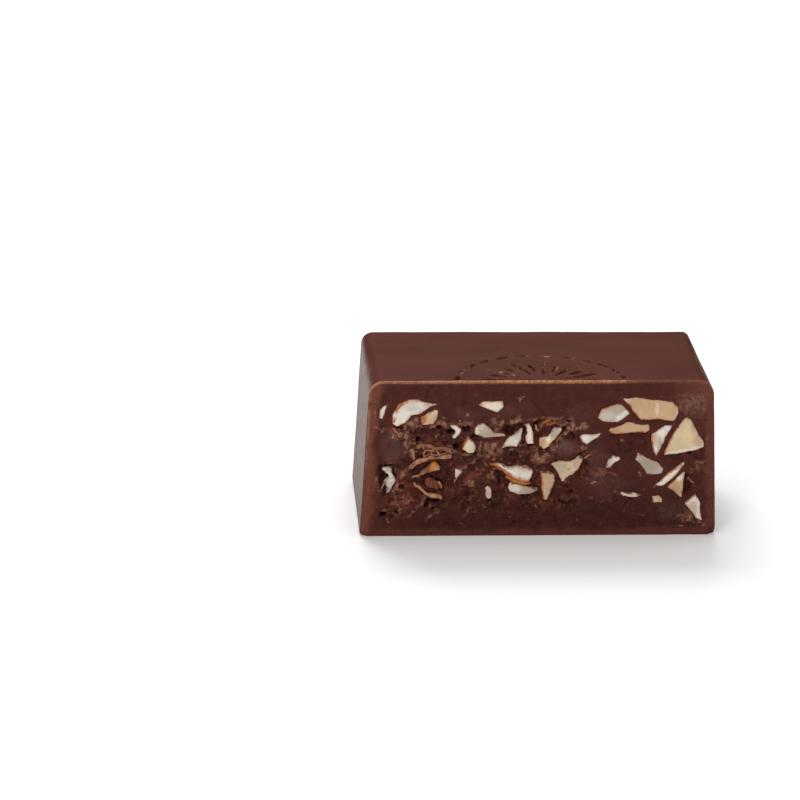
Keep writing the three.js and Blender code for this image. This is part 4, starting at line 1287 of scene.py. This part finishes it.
def chopped_nut(node, grid):
    """One nut piece with its rough cut, and its masks."""
    draw = random.Random(node)
    points, faces = remeshed(node, grid, 5)
    outline, inset = front_outline(node)
    places = points[:, [0, 2]]
    away, outward = outline_distance(places, outline)
    front = front_share(points, inset, 0.3, 0.06)
    seed = draw.uniform(0, 50)
    tilt = (places - outline.mean(0)) @ (draw.uniform(-0.06, 0.06), draw.uniform(-0.04, 0.08))
    proud = draw.uniform(0.0, 0.07)
    rough = 0.035 * lumps(points, 0.9, 3, seed) + 0.008 * lumps(points, 0.15, 2, seed + 3)
    normals = point_normals(points, faces)
    points = points + normals * (0.08 * lumps(points, 0.6, 3, seed + 7) * (1 - front))[:, None]
    points[:, [0, 2]] += wander(places)
    crags = lumps(points, 0.7, 3, seed + 19) + 0.5 * lumps(points, 0.3, 2, seed + 23)
    points += CRAGGY.get(node, 0) * normals * crags[:, None]
    fall = np.zeros(len(points))
    pale = np.zeros(len(points))
    chance = (draw.uniform(0, 360), draw.uniform(0.2, 0.4), draw.uniform(0.1, 0.3), 0.7)
    for angle, width, steep, paleness in FACETS.get(node, [chance]):
        into = facet(places, outline, angle, width)
        fall += steep * into
        # Painted highlight: each facet is painted paler, as if more lit for its tilt.
        pale = np.maximum(pale, paleness * smoothstep(0.0, 0.16, into))
    rounded = 0.05 * (1 - np.clip(-away / 0.16, 0, 1)) ** 2
    points[:, 1] += front * (fall + rounded - proud + np.clip(tilt, -0.1, 0.1) + rough)

    edge = -away + 0.1 * lumps(points, 0.35, 3, seed)
    skin = np.zeros(len(points))
    if node in SKINS:
        angle, width = SKINS[node]
        skin = smoothstep(0.35, 0.75, outward @ direction(angle)) * smoothstep(width, 0.4 * width, edge)
        skin *= mottled(points, 0.85, 1, 0.6, 2, seed + 17)
    tints = {kind: patches(*places.T, rows) for kind, rows in TINTS.items()}
    spotted, smeared = (0.1, 0.5) if node in CLEAN else (0.3, 0.9)
    spots = smoothstep(0.1, 0.6, lumps(points, 1.4, 2, seed + 11)) * spotted
    smear = smoothstep(0.16, 0.04, edge) * smoothstep(0.05, 0.4, lumps(points, 0.7, 3, seed + 5))
    masks = {
        # Painted highlights on the facets, and pale patches.
        "pale": np.maximum(pale * mottled(points, 0.8, 0.4, 0.9, 2, seed + 13), tints["pale"]),
        "cool": tints["cool"],
        "rosy": np.maximum(tints["rosy"], 0.6 * smoothstep(0.26, 0.06, edge)),
        "dull": np.maximum(spots, tints["dull"]),
        "smear": smear * smeared * (1 - 0.8 * skin),
        "skin": np.maximum(skin, tints["skin"]),
    }
    return points, faces, masks


def joined(parts):
    """One mesh from several lists of points, faces and masks."""
    points, faces, masks, total = [], [], {}, 0
    for part_points, part_faces, part_masks in parts:
        points.append(part_points)
        faces += [tuple(total + index for index in face) for face in part_faces]
        total += len(part_points)
        for name, values in part_masks.items():
            masks.setdefault(name, []).append(values)
    return np.vstack(points), faces, {name: np.concatenate(values) for name, values in masks.items()}


def make_nuts():
    """One piece for each kind of chopped nut."""
    m = measures()
    colours = bpy.context.scene.chocolate_colours
    nodes = chopped_nodes("nut_")
    for slot in sorted({slot_of(node) for node in nodes}):
        kind = [node for node in nodes if slot_of(node) == slot]
        points, faces, masks = joined([chopped_nut(node, m.nut_grid) for node in kind])
        material = nut_finish(slot, getattr(colours, slot), colours)
        add_piece(f"{slot}_pieces", points, faces, kind, [material], masks)


# How pale a flake's broken edge is, and how glassy it is.
FLAKE_LOOKS = {
    "flake_01": (0.45, 0.1), "flake_02": (0.9, 0.1), "flake_03": (0.2, 1.0), "flake_04": (1.0, 0.25),
    "flake_05": (0.0, 0.0), "flake_06": (0.0, 0.0),
}
# Thin ribs and splinters: start, stop, half thickness, and how pale or, below 0, how amber they are.
SPLINTERS = [
    ((-10.35, 7.3), (-10.3, 8.0), 0.11, 0.6), ((-9.75, 7.9), (-9.5, 7.5), 0.07, 0.5),
    ((-9.3, 8.1), (-8.9, 7.6), 0.08, 0.6), ((-10.3, 7.95), (-9.2, 8.1), 0.08, 0.5),
    ((-9.3, 8.15), (-8.1, 8.0), 0.09, 0.6), ((-10.2, 7.55), (-8.2, 7.75), 0.07, 0.45),
    ((-10.6, 8.65), (-10.3, 8.1), 0.08, 0.5), ((-8.2, 8.2), (-7.9, 7.6), 0.1, 0.6),
    ((-11.2, 7.1), (-11.4, 8.2), 0.1, 0.7), ((-11.4, 5.45), (-10.6, 5.6), 0.1, 0.9),
    ((-10.6, 5.6), (-10.2, 5.9), 0.07, 0.5), ((-14.1, 4.4), (-13.7, 5.0), 0.07, 0.9),
    ((-7.4, 5.4), (-7.65, 4.95), 0.06, 0.7), ((-13.2, 10.2), (-12.7, 9.7), 0.08, 0.6),
    ((-12.8, 9.7), (-12.4, 9.3), 0.08, 0.7), ((13.35, 5.3), (13.85, 4.95), 0.07, 0.6),
    ((4.0, 7.2), (4.5, 7.6), 0.08, 0.8), ((4.6, 4.95), (5.1, 5.1), 0.07, 0.7),
    ((-3.0, 5.5), (-1.9, 5.05), 0.22, -0.6), ((-2.0, 5.1), (-0.8, 4.95), 0.22, -0.6),
    ((-4.2, 6.35), (-3.2, 6.0), 0.1, -0.4), ((0.1, 10.65), (0.9, 10.85), 0.2, -0.4),
    ((0.5, 10.35), (1.3, 10.65), 0.15, -0.3), ((-9.0, 5.0), (-8.65, 4.4), 0.13, 0.9),
    ((-0.5, 10.35), (-0.2, 9.7), 0.12, 1.0), ((-5.3, 8.9), (-5.4, 7.8), 0.07, 0.6),
]


def chopped_flake(node, grid):
    """One brittle flake: wavy, lined along its length, pale at its broken edge."""
    draw = random.Random(node)
    seed = draw.uniform(0, 50)
    edge, amber = FLAKE_LOOKS[node]
    points, faces = remeshed(node, grid, 1)
    _, inset = front_outline(node)
    front = front_share(points, inset, 0.4)
    along = (points[:, 0] - points[:, 0].min()) / np.ptp(points[:, 0])
    normals = point_normals(points, faces)
    lines = lumps(points * np.array([0.25, 1, 1]), 0.22, 2, seed)
    points = points + normals * (0.06 * lines + 0.09 * lumps(points, 0.6, 3, seed + 2))[:, None]
    points[:, 1] += front * 0.3 * lumps(points, 0.8, 3, seed + 5)
    points[:, 2] += 0.1 * lumps(points * np.array([1, 0, 0]), 0.8, 3, seed + 6)
    broken_edge = front * edge * mottled(points, 0.7, 0.9, 0.5, 2, seed + 9)
    pale_ends = smoothstep(0.74, 0.9, along) + 0.6 * smoothstep(0.3, 0.2, along)
    glassy_spots = smoothstep(0.2, 0.5, lumps(points, 1.2, 2, seed + 4))
    masks = {
        "edge": np.maximum(broken_edge, amber * pale_ends),
        "amber": amber * smoothstep(0.42, 0.7, along) + 0.6 * min(amber, 0.4) * glassy_spots,
    }
    return points, faces, masks


def face_back(x, z):
    """How far back the praline's cut face lies at a place on the cut, or None beside it."""
    praline = bpy.data.objects["nut_praline"]
    hit, spot, _, _ = praline.ray_cast(Vector((x, FRONT - 2, z)) * MM, Vector((0, 1, 0)))
    return spot.y / MM if hit else None


def splinter(start, stop, thick, pale, draw):
    """A thin, uneven, tapering rod that lies along the cut face."""
    rings, sides = 7, 6
    run = np.subtract(stop, start)
    across = np.array([-run[1], run[0]]) / np.linalg.norm(run)
    seed = draw.uniform(0, 90)
    points = []
    for ring in range(rings):
        share = ring / (rings - 1)
        x, z = np.array(start) + share * run + across * 0.12 * noise.noise(Vector((seed, 2.5 * share, 0)))
        found = face_back(x, z)
        back = FRONT if found is None else min(found, FRONT + 0.55)
        radius = thick * (0.35 + 0.65 * math.sin(math.pi * (0.12 + 0.76 * share)))
        for side in range(sides):
            angle = math.tau * side / sides
            reach = radius * (1 + 0.5 * noise.noise(Vector((seed + 3 * share, angle, 1))))
            lift = back - 0.4 * thick + 1.3 * reach * math.sin(angle)
            sideways = reach * math.cos(angle)
            points.append((x + across[0] * sideways, lift, z + across[1] * sideways))
    faces = [tuple(range(sides)), tuple(range(rings * sides - 1, (rings - 1) * sides - 1, -1))]
    for ring in range(rings - 1):
        for side in range(sides):
            a, b = ring * sides + side, ring * sides + (side + 1) % sides
            faces.append((a, a + sides, b + sides, b))
    masks = {"edge": np.full(len(points), pale), "amber": np.full(len(points), -pale)}
    return np.array(points), faces, masks


SPLINTER_SEED = 7


def make_flakes():
    """The flakes and the loose splinters, as one piece."""
    m = measures()
    nodes = chopped_nodes("flake_")
    draw = random.Random(SPLINTER_SEED)
    parts = [chopped_flake(node, 0.8 * m.nut_grid) for node in nodes]
    parts += [splinter(*row, draw) for row in SPLINTERS]
    points, faces, masks = joined(parts)
    material = brittle_finish(bpy.context.scene.chocolate_colours)
    add_piece("brittle_flakes", points, faces, nodes, [material], masks)


# --- crumbs and specks ---------------------------------------------------------------------

# Spots where pale crumbs lie close together: across, up, spread and how many.
CRUMB_SPOTS = [
    (0.3, 7.2, 0.4, 14), (-12.8, 9.8, 0.35, 8), (-12.4, 9.3, 0.25, 4), (13.9, 1.4, 0.4, 5),
    (-14.6, 10.5, 0.25, 3), (2.5, 10.5, 0.35, 8), (-4.4, 8.1, 0.55, 16), (-7.0, 10.5, 0.5, 7),
    (-13.3, 1.8, 0.3, 4), (-4.9, 2.8, 0.08, 2), (-11.3, 7.9, 0.25, 5), (-4.3, 5.7, 0.2, 3),
    (14.9, 1.0, 0.3, 3), (14.1, 12.0, 0.5, 4), (-6.2, 4.9, 0.25, 5), (9.1, 5.8, 0.06, 3),
    (-8.6, 11.1, 0.08, 3), (-6.6, 11.35, 0.08, 2), (-1.9, 12.8, 0.08, 2), (-3.9, 11.2, 0.1, 2),
    (-9.25, 9.3, 0.06, 3), (-11.1, 8.95, 0.08, 3), (7.1, 8.9, 0.12, 3), (13.3, 12.9, 0.3, 4),
    (14.8, 9.2, 0.1, 2),
]


def bit(place, size, draw):
    """One small lump: points, faces and no masks."""
    shape = bmesh.new()
    bmesh.ops.create_icosphere(shape, subdivisions=2 if size > 0.14 else 1, radius=size)
    seed = draw.uniform(0, 90)
    stretch = Vector((draw.uniform(0.6, 1.5), draw.uniform(0.45, 0.9), draw.uniform(0.5, 1.2)))
    turn = Matrix.Rotation(draw.uniform(0, math.tau), 3, "Y")
    points = []
    for vert in shape.verts:
        spot = vert.co * (1 + 0.6 * noise.noise(vert.co / size * 1.3 + Vector((seed, seed, 0))))
        points.append(turn @ (spot * stretch) + place)
    faces = [tuple(v.index for v in face.verts) for face in shape.faces]
    shape.free()
    return np.array(points), faces, {}


def on_the_cut(x, z, size):
    """Where a small lump rests on the praline's cut face, or None beside it."""
    found = face_back(x, z)
    return None if found is None else Vector((x, max(found + 0.45 * size, FRONT + 0.5 * size), z))


def scattered(count, draw, keep, sizes):
    """Small bits on the praline's cut face at random places that keep() accepts."""
    parts = []
    while len(parts) < count:
        x = draw.uniform(-SIDE / 2 + 1, SIDE / 2 - 1)
        z = draw.uniform(0.9, HEIGHT - 1.4)
        size = draw.uniform(*sizes) * draw.uniform(0.6, 1)
        place = on_the_cut(x, z, size) if draw.random() < keep(x, z) else None
        if place is not None:
            parts.append(bit(place, size, draw))
    return parts


def gathered(spots, draw, sizes):
    """Small bits that lie close together round each spot."""
    parts = []
    for x, z, spread, count in spots:
        for _ in range(count):
            size = draw.uniform(*sizes) * draw.uniform(0.4, 1)
            place = on_the_cut(x + draw.gauss(0, spread), z + draw.gauss(0, spread), size)
            if place is not None:
                parts.append(bit(place, size, draw))
    return parts


# Least and greatest sizes, from a small lump's middle to its outside.
CRUMB_SIZES = (0.07, 0.22)
PALE_CRUMB_SIZES = (0.1, 0.24)
SPECK_SIZES = (0.035, 0.085)
CRUMB_SEED = 41
TORN_PATCH = (-5.0, 6.2, 10.5, 5.0)  # the torn part of the cut, as for patch
DENSE_TOP = 10.8  # the praline is dense above this height


def torn_share(x, z):
    """How likely a crumb is: most in the torn part."""
    return 0.04 + 0.96 * patch(x, z, TORN_PATCH, 0.55)


def speck_share(x, z):
    """How likely a speck of nut is: everywhere, with fewer in the dense top."""
    return 0.25 + 0.75 * float(z < DENSE_TOP)


def make_crumbs():
    """Three pieces: crumbs of the praline, paler crumbs gathered in spots, and specks of nut."""
    m = measures()
    colours = bpy.context.scene.chocolate_colours
    draw = random.Random(CRUMB_SEED)
    crumbs = scattered(m.crumbs, draw, torn_share, CRUMB_SIZES)
    pale_crumbs = gathered(CRUMB_SPOTS, draw, PALE_CRUMB_SIZES)
    specks = scattered(m.specks, draw, speck_share, SPECK_SIZES)
    for name, parts, slot, value in (
        ("praline_crumbs", crumbs, "praline_filling", colours.praline_warm),
        ("pale_crumbs", pale_crumbs, "praline_filling", colours.crest),
        ("nut_specks", specks, "nut_tan", colours.nut_rosy),
    ):
        points, faces, masks = joined(parts)
        add_piece(name, points, faces, [], [crumb_finish(name, scaled_colour(value, 0.8))], masks)


# --- the stage -----------------------------------------------------------------------------


GLOW_RANGE = (250, 900)  # millimetres from the square at which the floor's glow starts and is full
SKY_POWER = 3.0  # how quickly the sky's light gathers straight above
SENSOR_WIDTH = 36  # millimetres
CLIPPING = (0.01, 20)  # nearest and farthest that the camera sees, in metres


def make_floor(stage):
    """A pale floor that glows a little far away, where the lights don't reach."""
    bpy.ops.mesh.primitive_plane_add(size=stage.floor_size)
    floor = bpy.context.object
    floor.name = "pale_floor"
    finish = Finish("floor_paper", roughness=0.9, specular=0.0)
    tone = finish.clouded(finish.noise(60, 2, 0.5), stage.floor_colour, 0.99, 1)
    away = finish.add("ShaderNodeVectorMath", operation="LENGTH")
    finish.link(finish.place, away.inputs[0])
    glow = finish.span(away.outputs["Value"], *GLOW_RANGE, 0, 0.5)
    finish.link(glow, finish.shader.inputs["Emission Strength"])
    finish.shader.inputs["Emission Color"].default_value = (1, 1, 1, 1)
    floor.data.materials.append(finish.done(tone))


def add_area_light(name, power, size, place, target):
    """A soft rectangular light at a place, turned towards a target, all in metres."""
    light = bpy.data.lights.new(name, "AREA")
    light.energy = power
    light.shape = "RECTANGLE"
    light.size, light.size_y = size
    lamp = bpy.data.objects.new(name, light)
    lamp.location = place
    lamp.rotation_euler = (Vector(target) - Vector(place)).to_track_quat("-Z", "Y").to_euler()
    bpy.context.scene.collection.objects.link(lamp)


def make_sky(stage):
    """Light from all round, strongest from above, and plain white where the camera sees past the floor."""
    world = bpy.data.worlds.new("soft_sky")
    world.use_nodes = True
    sky = Nodes(world.node_tree)
    split = sky.add("ShaderNodeSeparateXYZ")
    sky.link(sky.add("ShaderNodeTexCoord").outputs["Generated"], split.inputs[0])
    steep = sky.add("ShaderNodeMath", operation="POWER", use_clamp=True)
    sky.link(split.outputs["Z"], steep.inputs[0])
    steep.inputs[1].default_value = SKY_POWER
    rise = sky.add("ShaderNodeMapRange")
    sky.link(steep.outputs[0], rise.inputs["Value"])
    rise.inputs["To Min"].default_value = stage.horizon
    rise.inputs["To Max"].default_value = stage.sky
    by_camera = sky.add("ShaderNodeLightPath").outputs["Is Camera Ray"]
    background = sky.tree.nodes["Background"]
    level = sky.mixed("FLOAT", NUMBER_SOCKETS, by_camera, rise.outputs["Result"], 1.0)
    sky.link(level, background.inputs["Strength"])
    background.inputs["Color"].default_value = (1, 1, 1, 1)
    bpy.context.scene.world = world


def make_camera(stage):
    """A camera turned by azimuth, elevation and roll, which stands where the stage's settings say."""
    azimuth, elevation, roll = stage.azimuth, stage.elevation, stage.roll
    level = math.cos(elevation)
    back = Vector((math.sin(azimuth) * level, -math.cos(azimuth) * level, math.sin(elevation)))
    level_right = Vector((math.cos(azimuth), math.sin(azimuth), 0))
    level_up = back.cross(level_right)
    right = math.cos(roll) * level_right + math.sin(roll) * level_up
    up = math.cos(roll) * level_up - math.sin(roll) * level_right
    data = bpy.data.cameras.new("camera")
    data.lens = stage.lens
    data.sensor_width = SENSOR_WIDTH
    data.clip_start, data.clip_end = CLIPPING
    camera = bpy.data.objects.new("camera", data)
    turn = Matrix((right, up, back)).transposed().to_4x4()
    camera.matrix_world = Matrix.Translation(Vector(stage.camera_place)) @ turn
    bpy.context.scene.collection.objects.link(camera)
    bpy.context.scene.camera = camera


# Each soft light's width and height, its place, and the point that it faces, in metres.
KEY_LIGHT = ((0.35, 0.25), (-0.07, 0.34, 0.4), (0, 0, 0))
FILL_LIGHT = ((0.16, 0.14), (-0.2, -0.36, 0.3), (0, 0, 0.007))


def make_stage():
    """Camera, floor, sky and two soft lights."""
    stage = bpy.context.scene.chocolate_stage
    make_camera(stage)
    make_floor(stage)
    make_sky(stage)
    add_area_light("key_behind", stage.key, *KEY_LIGHT)
    add_area_light("fill_front", stage.fill, *FILL_LIGHT)
    bpy.context.scene.view_settings.view_transform = "Standard"


# --- operators and panel -------------------------------------------------------------------


class CHOCOLATE_OT_make_stage(bpy.types.Operator):
    """Set up the camera, the pale floor and the soft lights"""

    bl_idname = "chocolate.make_stage"
    bl_label = "Stage"

    def execute(self, context):
        make_stage()
        return {"FINISHED"}


class CHOCOLATE_OT_make_shell(bpy.types.Operator):
    """Build the moulded shell with its pressed ornament and its cut rim"""

    bl_idname = "chocolate.make_shell"
    bl_label = "Shell"

    def execute(self, context):
        make_shell()
        return {"FINISHED"}


class CHOCOLATE_OT_make_praline(bpy.types.Operator):
    """Build the praline with its smooth, torn and gritty cut face"""

    bl_idname = "chocolate.make_praline"
    bl_label = "Praline"

    def execute(self, context):
        make_praline()
        return {"FINISHED"}


class CHOCOLATE_OT_make_nuts(bpy.types.Operator):
    """Build the chopped nuts that the cut crosses"""

    bl_idname = "chocolate.make_nuts"
    bl_label = "Chopped nuts"

    def execute(self, context):
        make_nuts()
        return {"FINISHED"}


class CHOCOLATE_OT_make_flakes(bpy.types.Operator):
    """Build the brittle flakes in the torn hollow"""

    bl_idname = "chocolate.make_flakes"
    bl_label = "Brittle flakes"

    def execute(self, context):
        make_flakes()
        return {"FINISHED"}


class CHOCOLATE_OT_make_crumbs(bpy.types.Operator):
    """Scatter crumbs and specks of nut on the praline"""

    bl_idname = "chocolate.make_crumbs"
    bl_label = "Crumbs and specks"

    def execute(self, context):
        make_crumbs()
        return {"FINISHED"}


OPERATORS = (
    CHOCOLATE_OT_make_stage, CHOCOLATE_OT_make_shell, CHOCOLATE_OT_make_praline,
    CHOCOLATE_OT_make_nuts, CHOCOLATE_OT_make_flakes, CHOCOLATE_OT_make_crumbs,
)


class CHOCOLATE_PT_panel(bpy.types.Panel):
    """Sizes, colours and pieces of the cut chocolate square"""

    bl_label = "Cut Chocolate Square"
    bl_space_type = "VIEW_3D"
    bl_region_type = "UI"
    bl_category = "Chocolate"

    def draw(self, context):
        for group in ("chocolate_sizes", "chocolate_colours", "chocolate_stage"):
            settings = getattr(context.scene, group)
            column = self.layout.column(align=True)
            for name in settings.__annotations__:
                column.prop(settings, name)
        for operator in OPERATORS:
            self.layout.operator(operator.bl_idname)


CLASSES = (ChocolateSizes, ChocolateColours, StageSettings, *OPERATORS, CHOCOLATE_PT_panel)


def register():
    """Makes the settings, operators and panel known to Blender."""
    for item in CLASSES:
        bpy.utils.register_class(item)
    bpy.types.Scene.chocolate_sizes = PointerProperty(type=ChocolateSizes)
    bpy.types.Scene.chocolate_colours = PointerProperty(type=ChocolateColours)
    bpy.types.Scene.chocolate_stage = PointerProperty(type=StageSettings)


def unregister():
    """Takes them out again."""
    del bpy.types.Scene.chocolate_stage
    del bpy.types.Scene.chocolate_colours
    del bpy.types.Scene.chocolate_sizes
    for item in reversed(CLASSES):
        bpy.utils.unregister_class(item)


def main():
    """Builds the whole scene."""
    register()
    bpy.ops.chocolate.make_stage()
    bpy.ops.chocolate.make_shell()
    bpy.ops.chocolate.make_praline()
    bpy.ops.chocolate.make_nuts()
    bpy.ops.chocolate.make_flakes()
    bpy.ops.chocolate.make_crumbs()


if __name__ == "__main__":
    main()
